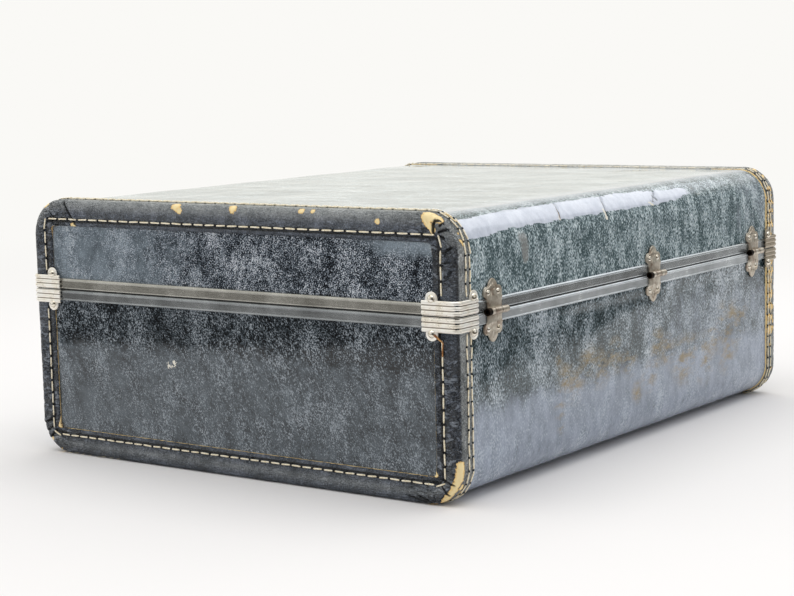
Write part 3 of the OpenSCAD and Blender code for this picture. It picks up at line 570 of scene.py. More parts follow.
# One steel in four tones, painted lighter or darker for the light on each rail; one is also tinted yellow.
rail_steel_painted_light = worn_metal("steel_rail_painted_light", [(0.34, "#b9bfc3"), (0.5, "#cbd1d5"), (0.66, "#dbe1e5")], 25, (0.2, 0.28), 0.002, (0.04, 0.04, 1), metallic=0.62)
rail_steel_painted_mid = worn_metal("steel_rail_painted_mid", [(0.34, "#a3a8ab"), (0.5, "#b2b8bb"), (0.66, "#c1c7ca")], 25, (0.2, 0.28), 0.002, (0.04, 0.04, 1), metallic=0.84)
rail_steel_painted_dark = worn_metal("steel_rail_painted_dark", [(0.34, "#84888a"), (0.5, "#929698"), (0.66, "#a1a5a7")], 25, (0.2, 0.28), 0.002, (0.04, 0.04, 1), metallic=0.84)
rail_steel_yellow_painted_mid = worn_metal("yellowish_steel_rail_painted_mid", [(0.34, "#a09f98"), (0.5, "#aeada6"), (0.66, "#bcbbb4")], 25, (0.2, 0.28), 0.002, (0.04, 0.04, 1), metallic=0.88)
clip_nickel = worn_metal("rubbed_nickel_clip", [(0.34, "#efe7d6"), (0.46, "#f8f3e8"), (0.62, "#fffdf7")], 9, (0.26, 0.34), 0.001, (0.1, 0.1, 1), metallic=0.6)
nail_nickel = worn_metal("polished_nickel_nail", [(0.35, "#d5cab4"), (0.5, "#ece6d8"), (0.65, "#faf6ee")], 2.5, (0.06, 0.16), 0.006)
tree = clip_nickel.node_tree
shader = tree.nodes["Principled BSDF"]
plated = shader.inputs["Base Color"].links[0].from_socket
dirt = add(tree, "MapRange", Value=add(tree, "Attribute", attribute_name="dirt").outputs["Fac"], From_Min=0.3, To_Max=0.85)
dirty = add(tree, "MixRGB", Fac=dirt, Color1=plated, Color2="#55432f")
dull = add(tree, "MapRange", Value=add(tree, "Attribute", attribute_name="dull").outputs["Fac"], To_Max=0.8)
wire(tree, shader, Base_Color=add(tree, "MixRGB", Fac=dull, Color1=dirty, Color2="#8d7d63"))
hinge_plate = worn_metal("tarnished_stamped_hinge", [(0.36, "#a08d7e"), (0.46, "#bdb2a2"), (0.56, "#cdc5b7"), (0.68, "#ddd7cb")], 4.5, (0.3, 0.42), 0.02, metallic=0.85)
latch_nickel = worn_metal("worn_nickel_latch", [(0.36, "#a2967f"), (0.5, "#c9c1b0"), (0.64, "#ddd7ca")], 7, (0.2, 0.4), 0.02, (1, 0.2, 0.2))
# Painted shade: the inside of the barrel's open end and the pin are drawn near-black.
barrel_shade = worn_metal("painted_shade_of_barrel", [(0.4, "#1a1512"), (0.6, "#3a2f27")], 2, (0.5, 0.7), 0.03)

# %% [markdown]
# ## The fibre wrap
# One sheet runs from rim to rim. A row of points across the case is carried round the outline, and
# each point is then pushed in along its normal by smooth noises: long dents, low wrinkles on the
# flat side and short ripples on the rounded edges. All of it is inward, so that the rails and the
# leather still cover the sheet's borders.

# %% Coverings
FIBRE = 0.8
FIBRE_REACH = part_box("base_covering")[1].x / MM
SHEET_STEP = 3.0
STAINS = [(-163, 176, 66, 9), (-150, 176, 68, 9), (-130, 176, 72, 7), (-143, 176, 53, 11), (-120, 176, 60, 9), (-70, 176, 48, 12),
          (-85, 176, 52, 9), (-31, 176, 66, 7), (-28, 176, 56, 6), (-139, 176, 42, 9), (-18, 176, 44, 7), (103, 176, 75, 4),
          (104, 176, 46, 4.5), (103, 176, 36, 4), (102, 176, 28, 3), (0, 176, 36, 5), (85, 176, 56, 9), (66, 176, 66, 8),
          (50, 176, 60, 9), (30, 176, 66, 8), (-100, 176, 45, 12), (-45, 176, 58, 8), (96, 176, 60, 7), (10, 176, 58, 7)]
CRACKS = [[(88, 173.5), (92.5, 169.2), (94.5, 164)], [(25.5, 175), (33, 170.5), (36, 165), (36.8, 160.5)],
          [(-43.5, 172), (-36.5, 168.5), (-31, 164.6)]]
NOTCH = [(-36, 171, 170, -38, 173, 167, 2.0), (-29, 173, 167, -33, 174, 165.6, 1.5)]
# Pale glints painted as highlights, where the bright band breaks at the cracks.
PAINTED_GLINTS = [(38.4, 173, 166.5, 38.2, 176, 159.5, 1.7), (-26, 173, 165.5, -29.5, 174, 163.6, 1.4), (96.0, 173, 166.5, 96.2, 174, 163.2, 1.0)]


def dents(point, seed):
    """Depth of the dents in the covering at a point, in millimetres."""
    still = ease(BAND_X - abs(point.x), 0, 12)
    long_dents = 0.30 + 0.30 * wobble(Vector((point.x, point.y, point.z)), 46, seed)
    calm = 1 - 0.75 * ease(abs(point.y), 140, 152) * ease(abs(point.z - PARTING), 20, 36)
    wrinkles = 0.16 * wobble(Vector((point.x / 2.6, point.y, point.z)), 15, seed + 1)
    ripples = 0.05 * wobble(Vector((point.x, point.y / 3, point.z / 3)), 6, seed + 2)
    return still * max(0, long_dents + calm * (wrinkles + ripples))


def crack_at(point):
    """1 on a crack of the lid's back edge, as the mesh can show it."""
    if point.y < 140 or not 157 < point.z < 177:
        return 0
    best = 0
    for line in CRACKS:
        for (x0, z0), (x1, z1) in zip(line, line[1:]):
            if z1 <= point.z <= z0:
                x = x0 + (x1 - x0) * (z0 - point.z) / (z0 - z1) + 0.5 * wobble(point, 4, 9)
                best = max(best, 1 - abs(point.x - x) / 1.5)
    return best


def painted_glare_band(point):
    """Where a pale highlight is painted on the lid's back edge: a long band with torn borders."""
    if point.y < 140 or point.z < 155:
        return 0
    angle = math.degrees(math.atan2(point.z - (LID_TOP - EDGE), point.y - (SIDE_Y - EDGE)))
    low = 27 - 8 * ease(point.x, 150, 205) + 8 * ease(-point.x, 40, 100) + 3 * wobble(point, 9, 51) + 2 * wobble(point, 3, 52)
    high = 62 - 6 * ease(point.x, 150, 205) - 8 * ease(-point.x, 0, 40) + 4 * wobble(point, 11, 53) + 3 * wobble(point, 2.5, 54)
    return ease(angle, low - 1, low + 1) * (1 - ease(angle, high - 3, high + 3)) * ease(point.x, -118, -60)


for half, (depth, flip) in HALVES.items():
    bm = bmesh.new()
    ends = [bm.verts.new((x, FIBRE_Y, depth - FIBRE)) for x in (-FIBRE_REACH, FIBRE_REACH)]
    row = bm.edges.new(ends)
    bmesh.ops.subdivide_edges(bm, edges=[row], cuts=round(2 * FIBRE_REACH / SHEET_STEP) - 1)
    if half == "lid":
        for line in CRACKS:
            close = [e for e in bm.edges if abs(e.verts[0].co.x - (line[0][0] + line[-1][0]) / 2) < 12]
            bmesh.ops.subdivide_edges(bm, edges=close, cuts=4)
    wall, flat, inner = depth - FIBRE - EDGE, SIDE_Y - EDGE, SIDE_Y - FIBRE_Y
    geom = run(bm, bm.verts[:] + bm.edges[:], (0, 0, -wall), SHEET_STEP)
    geom = turn(bm, geom, (0, flat, EDGE), -90, 34)
    geom = run(bm, geom, (0, -2 * flat, 0), SHEET_STEP)
    geom = turn(bm, geom, (0, -flat, EDGE), -90, 18)
    run(bm, geom, (0, 0, wall), SHEET_STEP)
    bmesh.ops.remove_doubles(bm, verts=bm.verts, dist=0.001)
    face_out(bm)
    for vert in bm.verts:
        point = flip @ vert.co
        vert.co -= vert.normal * (dents(point, 3 if half == "lid" else 5) * ease(depth - vert.co.z, 8, 16)
                                  + 0.9 * ease(max(crack_at(point), near(point, NOTCH) - 0.2), 0.3, 1))
    bmesh.ops.transform(bm, matrix=flip, verts=bm.verts)
    if half == "lid":
        bmesh.ops.reverse_faces(bm, faces=bm.faces)
    # These painted areas include painted light: the highlight band and glints on the lid's back edge, and the painted
    # reflections.
    keep(bm, half + "_fibre_wrap", half, [lit_fibre_walls[half], cut_fibre], [half + "_covering"], walls=FIBRE, paint={
        "stain": (lambda p: near(p, STAINS)) if half == "base" else (lambda p: near(p, [(-99.5, 172, 170, 3.5)])),
        "faded": (lambda p: 0) if half == "base" else (lambda p: near(p, [(145, 176, 156, 5), (143, 176, 150, 5.5), (142, 176, 145, 4.5)])),
        "crack": lambda p: max(crack_at(p), near(p, NOTCH)),
        "chips_and_glints": lambda p: near(p, [(-27, 176, 142, 1.4), (98, 176, 47, 1.2), (20, 176, 33, 1.0), (-118, -176, 60, 2.5)] + PAINTED_GLINTS),
        "painted_highlight": painted_glare_band if half == "lid" else lambda p: 0,
        "painted_reflection": (lambda p: max(0.3 * ease(-p.x, 90, 200) * ease(p.z, 120, 150), 0.6 * ease(p.y, 130, 150) * ease(p.z, 172.5, 176)))
                if half == "lid" else
                (lambda p: max(0.34 * ease(-p.x, -60, 120) * ease(116 - p.z, 0, 44), 0.68 * ease(68 - p.z, 0, 22))),
    })

# %% [markdown]
# ## The end panels
# An end panel is one flat sheet. Its outline is a single point carried round the half and filled,
# and the face is then cut into small squares with planes, so that shallow dents can be pressed in.

# %% End panels
PANEL_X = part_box("base_end_panel_right")[1].x / MM
for half, (depth, flip) in HALVES.items():
    for side, turned in ENDS.items():
        bm = bmesh.new()
        top = depth - FIBRE
        start = bm.verts.new((PANEL_X, FIBRE_Y, top))
        sweep_half(bm, [start], top, 6, 8)
        bm.faces.new([v for v in sorted(bm.verts, key=lambda v: math.atan2(v.co.z - top, v.co.y))])
        cuts = [(0, 1, 0, y) for y in range(-174, 175, 3)] + [(0, 0, 1, z) for z in range(3, int(top), 3)]
        for nx, ny, nz, distance in cuts:
            bmesh.ops.bisect_plane(bm, geom=bm.verts[:] + bm.edges[:] + bm.faces[:], dist=0.001,
                                   plane_co=(0, ny * distance, nz * distance), plane_no=(nx, ny, nz))
        face_out(bm)
        for vert in bm.verts:
            point = turned @ flip @ vert.co
            vert.co.x -= 0.22 + 0.22 * wobble(point, 55, 11) + 0.05 * wobble(point, 14, 12)
        bmesh.ops.transform(bm, matrix=turned @ flip, verts=bm.verts)
        if (half == "lid") != (side == "left"):
            bmesh.ops.reverse_faces(bm, faces=bm.faces)
        # The panels' pale areas are painted reflections: towards the front and the upper back corner of the lid's ends,
        # and low on the base's.
        keep(bm, f"{half}_end_fibre_{side}", half, [fibre_ends[half], cut_fibre], [f"{half}_end_panel_{side}"],
             walls=FIBRE, paint={
                 "chips_and_glints": lambda p: near(p, [(220.9, -55.5, 69.8, 3.0), (220.9, -51.5, 71, 3.0), (220.9, -129, 152.5, 1.5)]),
                 "painted_reflection": (lambda p: 0.55 * ease(-p.y, -10, 120) + 0.75 * ease(p.y, 90, 135) * ease(p.z, 146, 157)) if half == "lid"
                 else (lambda p: 0.36 * ease(88 - p.z, 0, 14)),
             })

# %% [markdown]
# ## The leather bindings
# A binding wraps one end edge of a half: a band on the long faces, a tight roll over the edge and a
# border on the end face. Its cross-section is drawn by moving one point, then swept round the half.
# The relief is pressed in afterwards: grooves under the stitch rows, a soft unevenness, and the
# folds where the border is gathered round each corner. Four fields are painted on the mesh for the
# material: worn places, painted shade in the folds, the stitch grooves and on the side of the roll,
# where the leather is crumpled, and a painted sheen where light falls on it.

# %% Relief, wear and folds of the leather
END_ROW = (11.5, 13.2, 5)
SIDE_ROWS = (BAND_X + 1.8, BAND_X + 6.3)
LEATHER_TOP = RAIL_HEIGHT + 0.1
WORN = {
    "lid_right": [(220.5, 157, 178, 221, 167, 176.5, 3.6), (221.8, 157, 175, 222, 166, 174.3, 3.0), (221, 167, 176, 221.5, 171.5, 173.4, 2.6),
                  (222.5, 157.5, 173, 222.5, 161.8, 167.4, 2.0), (222.5, 155.8, 176, 222.5, 158.5, 171, 3.0),
                  (221.6, -43.5, 176.4, 3.6), (222.4, -39.8, 173.6, 2.4), (221.8, 5.9, 176.2, 3.2), (221.8, 62, 176.6, 2.4), (221.8, 71, 176.6, 1.7),
                  (222.5, 121, 171.5, 2.0), (222.5, -138.8, 160.4, 2.4), (216, 178, 163, 213.5, 178, 159.5, 1.6), (214.5, 176, 166, 1.6),
                  (218, -176, 140, 3.5), (220, -165, 174, 3.0), (209.5, 160, 177.5, 208, 169, 173, 1.2)],
    "base_right": [(220.5, 177.5, 26.5, 220.5, 176.2, 18, 3.2), (221, 175.5, 17, 220.5, 171.5, 10.4, 2.8), (221, 170.5, 9.4, 219.5, 164, 4.6, 2.6),
                   (219.5, 163, 3.8, 218.5, 153, 0.8, 1.8), (213, 170, 7.5, 2.0), (216, 174, 12, 2.2), (222.5, -168.5, 9, 1.6),
                   (218, -177, 60, 2.6), (219, -160, 3, 3.0), (222.5, 160.2, 19.4, 1.6), (222.5, -160, 19.6, 1.8)],
    "lid_left": [(-214, 178, z, 7 + 2 * (i % 2)) for i, z in enumerate(range(126, 168, 9))]
                + [(-216, 172, 172, 7), (-218, 163, 177, 7), (-221, -165, 172, 4)],
    "base_left": [(-213, 178, z, 10) for z in range(52, 112, 9)] + [(-213, 178, 40, 3.5),
                  (-215, 177, 20, 3.2), (-217, 173, 9, 3.5), (-220, -172, 10, 4), (-219, -178, 70, 4)],
}
FOLDS = {
    "lid_right": [(-147, 176.5, -135, 159.3, 1.2), (-155, 163.5, -150.2, 155, 1.0), (-161, 170, -152, 160.5, 0.6),
                  (161.9, 166.1, 161.9, 170.6, 1.2), (161.9, 170.6, 163, 173.2, 1.2), (163, 173.2, 170.4, 173.3, 1.0),
                  (166.5, 170.2, 168.8, 172.2, 1.0), (165.8, 166.3, 169.4, 167.8, 1.1), (169.4, 167.8, 174.4, 168, 0.8),
                  (166.3, 164.3, 169.5, 163.1, 0.9), (170.2, 154.9, 174.5, 157.6, 0.8), (168, 147, 172, 150, 0.6), (170, 139, 174, 143, 0.5)],
    "base_right": [(139.5, 4.5, 152.3, 1.5, 0.7), (148, 5, 153.8, 3, 0.7), (163, 14, 169, 7, 0.8), (165, 17, 173, 14, 0.6),
                   (-175.3, 20.2, -168, 23.1, 0.9), (-169.9, 10.7, -163.5, 16, 1.0), (-174, 14, -167, 18.5, 0.6)],
    "lid_left": [(150, 174, 139, 160, 0.9), (168, 163, 158, 157, 0.7), (-163, 171, -156, 160, 0.9), (-172, 160, -161, 155, 0.7)],
    "base_left": [(158, 4, 152, 17, 0.7), (172, 16, 160, 21, 0.8), (-165, 8, -158, 18, 0.9)],
}


def row_distance(y, z, row):
    """Signed distance of an end-face point from a sewn row: how far outside it lies."""
    side, low, radius = row
    dy, dz = abs(y) - (SIDE_Y - side - radius), low + radius - z
    return (math.hypot(dy, dz) if dy > 0 and dz > 0 else max(dy, dz)) - radius


def tighten(point):
    """Pulls the rounding of the border's inner edge tight, towards the corner."""
    inset = inset_of(point.y, point.z)
    dy, dz = abs(point.y) - (SIDE_Y - EDGE), EDGE - point.z
    if point.x < END_X - ROLL or dy <= 0 or dz <= 0 or inset < 3:
        return point
    radius = EDGE - inset
    tight = radius - 4.5 * ease(inset, 3, BORDER)
    centre_y, centre_z = SIDE_Y - inset - tight, inset + tight
    return Vector((point.x, math.copysign(centre_y + tight * dy / radius, point.y), centre_z - tight * dz / radius))


def fold_at(point, real, folds):
    """How deep a point of the end border lies in a fold, and how high beside one."""
    if point.x < END_X - ROLL / 2:
        return 0, 0
    deep = high = 0
    for y0, z0, y1, z1, size in folds:
        way = Vector((y1 - y0, z1 - z0))
        off = Vector((real.y - y0, real.z - z0))
        share = min(1, max(0, off.dot(way) / way.length_squared))
        gap = (off - share * way).length
        deep = max(deep, size * math.exp(-(gap / 0.8) ** 2))
        if way.cross(off) > 0:
            high = max(high, size * math.exp(-((gap - 1.2) / 1.8) ** 2))
    return deep, high


def leather_relief(point, key, real):
    """How far a point of the leather is pushed out, in millimetres."""
    push = -0.15 + 0.16 * wobble(real, 17, 21) + 0.10 * wobble(real, 5, 22)
    if point.x > END_X - 0.01:
        inset = inset_of(point.y, point.z)
        outside = row_distance(point.y, point.z, END_ROW)
        push -= 0.85 * math.exp(-(outside / (0.9 if outside > 0 else 1.9)) ** 2)
        push += 0.15 * math.exp(-((inset - 7) / 2.4) ** 2)
        push -= 1.15 * ease(inset, BORDER - 1.3, BORDER)
    else:
        for row in SIDE_ROWS:
            push -= 0.25 * math.exp(-((point.x - row) / 0.8) ** 2)
        skived = 1.5 if key.endswith("left") else 1.1
        push -= skived * (1 - ease(point.x - BAND_X, 0, 1.5))
        if key == "lid_left" and inset_of(point.y, point.z) < 0.1 and point.z < 1:
            push -= 0.45 * (1 - ease(point.x - SIDE_ROWS[1], 0.8, 2))
    crumple = ease(abs(real.y), 128, 160) * ease(abs(real.z - PARTING), 18, 40)
    ridge = abs(wobble(Vector((real.x, real.y + real.z, (real.z - real.y) / 2.5)), 4.5, 23))
    deep, high = fold_at(point, real, FOLDS[key])
    return push + 0.6 * high - 1.1 * deep - 0.5 * crumple * max(0, 0.12 - ridge) / 0.12


def leather_colouring(point, real, key):
    """Wear, painted shade, crumpling and painted sheen of a point, for the material."""
    on_border = point.x > END_X - 0.01
    inset = inset_of(point.y, point.z)
    outside = row_distance(point.y, point.z, END_ROW)
    upright = ease(35 - abs(abs(real.y) - SIDE_Y), 0, 10)
    if on_border:
        raw = (0.70 if key.startswith("base") else 0.35 * upright) * ease(inset, BORDER - 0.7, BORDER - 0.4)
    else:
        on_top = point.z < 1 and abs(real.y) < 130
        raw = (0 if on_top else 0.72 if key.endswith("left") else 0.55) * (1 - ease(point.x - BAND_X, 0.6, 1.2))
    # Painted shade in the stitch groove of the border, and on the side of the roll lower down.
    shade = 0.62 * math.exp(-((outside + 1.6) / 0.8) ** 2) if on_border else 0
    low_light = 1 - ease(abs(real.z - PARTING), 34, 52)
    shade = max(shade, 0.42 * low_light * ease(point.x, END_X - ROLL + 0.6, END_X - ROLL + 2) * (1 - ease(inset, 0.8, 2.6)))
    deep, high = fold_at(point, real, FOLDS[key])
    crumple = 0.3 + 0.7 * ease(abs(real.y), 128, 160) * ease(abs(real.z - PARTING), 6, 26)
    # Painted sheen, paler where light falls: the long faces beside the roll, the lid's top roll, a stripe along the
    # base's bottom border and the top of the far lid binding.
    painted_sheen = 0.9 * (1 - ease(point.x, END_X - ROLL + 0.4, END_X - ROLL + 2)) * (1 if real.y > 0 or real.z > 150 else 0.3)
    if key.startswith("lid"):
        painted_sheen = max(painted_sheen, 0.7 * ease(real.z, 150, 168) * (1 - ease(inset, 2, 10)))
    elif on_border:
        painted_sheen = max(painted_sheen, 0.4 * math.exp(-((inset - 7.5) / 2.6) ** 2) * ease(36 - real.z, 0, 20))
    if key == "lid_left" and real.z > 177:
        painted_sheen = max(painted_sheen, 1.22 * ease(158 - abs(real.y), 0, 40))
    worn = near(real, WORN[key]) * (0.62 if key.endswith("left") else 1)
    return max(raw, worn), max(deep, shade), crumple, painted_sheen


# %% Binding sheets
for half, (depth, flip) in HALVES.items():
    for side, turned in ENDS.items():
        key = f"{half}_{side}"
        top = depth - LEATHER_TOP
        bm = bmesh.new()
        geom = [bm.verts.new((BAND_X, SIDE_Y, top))]
        geom = run(bm, geom, (END_X - ROLL - BAND_X, 0, 0), 0.75)
        geom = turn(bm, geom, (END_X - ROLL, SIDE_Y - ROLL, 0), -90, 7, axis=(0, 0, 1))
        run(bm, geom, (0, -(BORDER - ROLL), 0), 0.75)
        sweep_half(bm, bm.verts[:] + bm.edges[:], top, 1.3, 60)
        face_out(bm)
        for vert in bm.verts:
            vert.co = tighten(vert.co)
        bm.normal_update()
        pushes = [(v, v.normal * leather_relief(v.co, key, turned @ flip @ v.co)) for v in bm.verts]
        colouring = [leather_colouring(v.co, turned @ flip @ v.co, key) for v in bm.verts]
        for vert, push in pushes:
            vert.co += push
        bmesh.ops.transform(bm, matrix=turned @ flip, verts=bm.verts)
        if (half == "lid") != (side == "left"):
            bmesh.ops.reverse_faces(bm, faces=bm.faces)
        values = [iter([c[i] for c in colouring]) for i in range(4)]
        # The painted fields: wear, painted shade, crumpling and painted sheen.
        keep(bm, f"{half}_leather_{side}", half, [binding_leather, raw_leather_edge],
             [f"{half}_binding_{side}"], walls=LEATHER - 0.05, sharp=60,
             paint={"wear": lambda p: next(values[0]), "painted_shade": lambda p: next(values[1]), "crumple": lambda p: next(values[2]),
                    "painted_sheen": lambda p: next(values[3])})

# %% [markdown]
# ## Stitches
# A stitch is a short rounded rod that lies in the groove, a little slanted, with a needle hole
# after it, painted as shade: a flat near-black rod. One of each is modelled with few faces and
# stamped some hundred times, each turned and stretched by a seeded random amount, as hand-guided
# sewing is.

# %% One stitch and one hole
STITCH_PITCH = 8.4
STITCH_LENGTH = 7.0
THREAD_RADIUS = 0.6


def rod(length, radius, flatness, finish_number):
    """A low rounded rod along X, made from a ball whose ends are filled out."""
    bm = bmesh.new()
    bmesh.ops.create_uvsphere(bm, u_segments=6, v_segments=6, radius=1)
    for vert in bm.verts:
        x, y, z = vert.co.z, vert.co.x, vert.co.y
        girth = math.hypot(y, z)
        fill = math.sqrt(girth) / girth if girth > 0.01 else 0
        vert.co = (math.copysign(abs(x) ** 0.45, x) * length / 2, y * fill * radius, z * fill * radius * flatness)
    for face in bm.faces:
        face.material_index = finish_number
    bmesh.ops.recalc_face_normals(bm, faces=bm.faces)
    return template(bm)


stitch = rod(STITCH_LENGTH, THREAD_RADIUS, 0.8, 0)
# Painted shade of a needle hole: a flat rod in the near-black finish.
hole_shade = rod(2.2, 0.85, 0.3, 1)


# %% Stitch rows
def stations(row, top, pitch):
    """Places along a row on a half's outline: point, direction and outward normal."""
    side, low, radius = row
    flat, wall = SIDE_Y - side - radius, top - low - radius
    arc = radius * math.pi / 2
    lengths = [wall, arc, 2 * flat, arc, wall]
    total = sum(lengths)
    count = int(total // pitch)
    for number in range(count):
        s = (total - count * pitch) / 2 + (number + 0.5) * pitch
        leg = 0
        while s > lengths[leg]:
            s -= lengths[leg]
            leg += 1
        if leg in (1, 3):
            angle = s / radius + (0 if leg == 1 else math.pi / 2)
            normal = Vector((0, math.cos(angle), -math.sin(angle)))
            centre = Vector((0, flat if leg == 1 else -flat, low + radius))
            yield centre + normal * radius, Vector((0, normal.z, -normal.y)), normal
        else:
            start, way, normal = {0: ((SIDE_Y - side, top), (0, 0, -1), (0, 1, 0)),
                                  2: ((flat, low), (0, -1, 0), (0, 0, -1)),
                                  4: ((side - SIDE_Y, low + radius), (0, 0, 1), (0, -1, 0))}[leg]
            way = Vector(way)
            yield Vector((0, *start)) + way * s, way, Vector(normal)


def lay(point, way, up, size=1.0, slant=0.0):
    """Matrix that lays a rod along a direction on a surface."""
    way = Matrix.Rotation(slant, 3, up) @ way
    return Matrix.Translation(point) @ Matrix((way * size, up.cross(way), up)).transposed().to_4x4()


hand = random.Random(17)
for half, (depth, flip) in HALVES.items():
    for side, turned in ENDS.items():
        bm = bmesh.new()
        top = depth - LEATHER_TOP - 1.5
        pitch = 9.6 if half == "lid" else 8.6
        for point, way, normal in stations(END_ROW, top, pitch):
            spot = Vector((END_X - 0.42, point.y, point.z))
            out = Vector((1, 0, 0))
            stamp(bm, stitch, lay(spot, way, out, hand.uniform(0.95, 1.04) * pitch / STITCH_PITCH,
                                    hand.uniform(-0.05, 0.05)))
            stamp(bm, hole_shade, lay(spot + way * (pitch / 2) - out * 0.15, way, out))
        for row in SIDE_ROWS:
            for point, way, normal in stations((0, 0, EDGE), top, STITCH_PITCH):
                on_top = half == "lid" and normal.z < -0.99
                rise = (0.35 if side == "right" else -1.1) if on_top else 0.12
                spot = Vector((row + hand.uniform(-0.3, 0.3), point.y, point.z)) + normal * rise
                stamp(bm, stitch, lay(spot, way, normal, hand.uniform(0.98, 1.1), hand.uniform(-0.12, 0.12)))
                stamp(bm, hole_shade, lay(spot + way * (STITCH_PITCH / 2) - normal * 0.28, way, normal, 0.6))
        bmesh.ops.transform(bm, matrix=turned @ flip, verts=bm.verts)
        bmesh.ops.recalc_face_normals(bm, faces=bm.faces)
        keep(bm, f"{half}_stitches_{side}", half, [linen_thread, needle_hole_shade], sharp=180)

# %% [markdown]
# ## Rails
# A rail is rolled from strip: a flat face between a bead at its foot and a lip folded over the rim.
# The upper border of each rail is bevelled, and that bevel is the thin bright line of light. The
# cross-section is carried along the wall in short runs, so that it can be let wander a little, as
# old strip does. Some rails lean a degree or two, so that each mirrors another height of the room,
# and each of the four that show is painted its own tone of the same steel, lighter or darker: this
# is why they differ in brightness.

# %% Rails
RAIL_OUT = SIDE_Y - FIBRE_Y
RAIL_FOOT = {"base": [(0.0, 0.0), (0.9, 0.0), (1.3, 0.08), (1.52, 0.25), (1.62, 0.5), (1.58, 0.78), (1.42, 0.98), (1.28, 1.08),
                      (1.25, 1.25), (1.25, 1.4), (1.25, 3.6)],
             "lid": [(0.0, 0.0), (0.6, 0.0), (0.78, 0.08), (1.52, 0.98), (1.64, 1.18), (1.67, 1.34), (1.6, 1.58), (1.42, 1.76),
                     (1.28, 1.85), (1.25, 2.0), (1.25, 2.15), (1.25, 3.6)]}
RAIL_BROW = {"base": [(1.25, 5.05), (1.25, 5.2), (1.28, 5.35), (1.42, 5.44), (1.6, 5.62), (1.67, 5.86), (1.64, 6.02), (1.52, 6.22),
                      (0.78, 7.12), (0.6, 7.2)],
             "lid": [(1.25, 6.3), (1.25, 6.5), (1.2, 6.8), (1.05, 7.05), (0.8, 7.2)]}
# Painted light: each half's long-wall rails and end rails take different tones of the one steel.
RAIL_FINISH = {"base": (rail_steel_painted_light, rail_steel_painted_dark), "lid": (rail_steel_painted_mid, rail_steel_yellow_painted_mid)}
RAIL_LEAN = {"lid_rail_right": -0.10, "base_rail_right": 0.0, "lid_rail_back": -0.03, "base_rail_back": 0.14}


def rail(bm, face, lean, section_low, reach, lip, lip_reach):
    """A rail along X at y = 0, its face towards +Y and its foot at z = section_low."""
    points = [(y - (lean * (z / 3.6 - 1) if y > 1.2 else 0), section_low + z) for y, z in face]
    ring = [bm.verts.new((-reach, y, z)) for y, z in points]
    ring += [bm.verts.new((-reach, y, z)) for y, z in ((-0.1, section_low + RAIL_HEIGHT), (-0.1, section_low))]
    face = bm.faces.new(ring)
    run(bm, [face] + face.edges[:] + face.verts[:], (2 * reach, 0, 0), 9)
    for vert in bm.verts:
        vert.co.y += 0.10 * wobble(Vector((vert.co.x, 0, 0)), 60, 31) - 0.05
        vert.co.z += 0.06 * wobble(Vector((vert.co.x, 9, 0)), 45, 32)
    tongue = bmesh.ops.create_cube(bm, size=1)["verts"]
    bmesh.ops.scale(bm, vec=(2 * lip_reach, lip, 0.75), verts=tongue)
    bmesh.ops.translate(bm, vec=(0, -lip / 2 + 0.9, section_low + RAIL_HEIGHT - 0.4), verts=tongue)
    bmesh.ops.recalc_face_normals(bm, faces=bm.faces)


END_BOARD_INNER = END_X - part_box("base_rail_right")[0].x / MM
SIDE_BOARD_INNER = SIDE_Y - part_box("base_rail_back")[0].y / MM
for half, (depth, flip) in HALVES.items():
    for name in ("front", "back", "left", "right"):
        node = f"{half}_rail_{name}"
        steel = RAIL_FINISH[half][name in ("left", "right")]
        low, high = (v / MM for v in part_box(node))
        bm = bmesh.new()
        along_end = name in ("left", "right")
        reach = high.y if along_end else high.x
        inner = END_BOARD_INNER if along_end else SIDE_BOARD_INNER
        lip_reach = SIDE_Y - SIDE_BOARD_INNER - 0.1 if along_end else reach - 0.2
        rail(bm, RAIL_FOOT[half] + RAIL_BROW[half], RAIL_LEAN.get(node, 0), depth - RAIL_HEIGHT, reach, inner - RAIL_OUT + 0.9, lip_reach)
        quarter = Matrix.Rotation(math.radians({"back": 0, "left": 90, "front": 180, "right": -90}[name]), 4, "Z")
        outward = (END_X if along_end else SIDE_Y) - RAIL_OUT
        place = flip @ quarter @ Matrix.Translation((0, outward, 0))
        bmesh.ops.transform(bm, matrix=place, verts=bm.verts)
        bmesh.ops.recalc_face_normals(bm, faces=bm.faces)
        keep(bm, node + "_strip", half, [steel], [node], sharp=50)

# %% [markdown]
# ## Corner clips
# A clip is pressed from one strip of sheet: three ribs with grooves between them, wrapped round the
# corner, where the grooves tear open into dark slits. The rib profile is drawn up the rim, carried
# along the end, round the corner and along the wall. The torn faces are deleted before the sheet
# gets its thickness. Each flange ends in a round tab under a domed nail.

# %% Corner clips
CLIP_HEIGHT, CLIP_GAP, CLIP_METAL, RIBS, RIB_RISE = 9.2, 0.1, 1.0, 3, 0.75
CLIP_END, CLIP_SIDE, TAB_RADIUS, TAB_DROP, END_NAIL, SIDE_NAIL = 25, 21, 4.4, 10.2, 18, 16.5


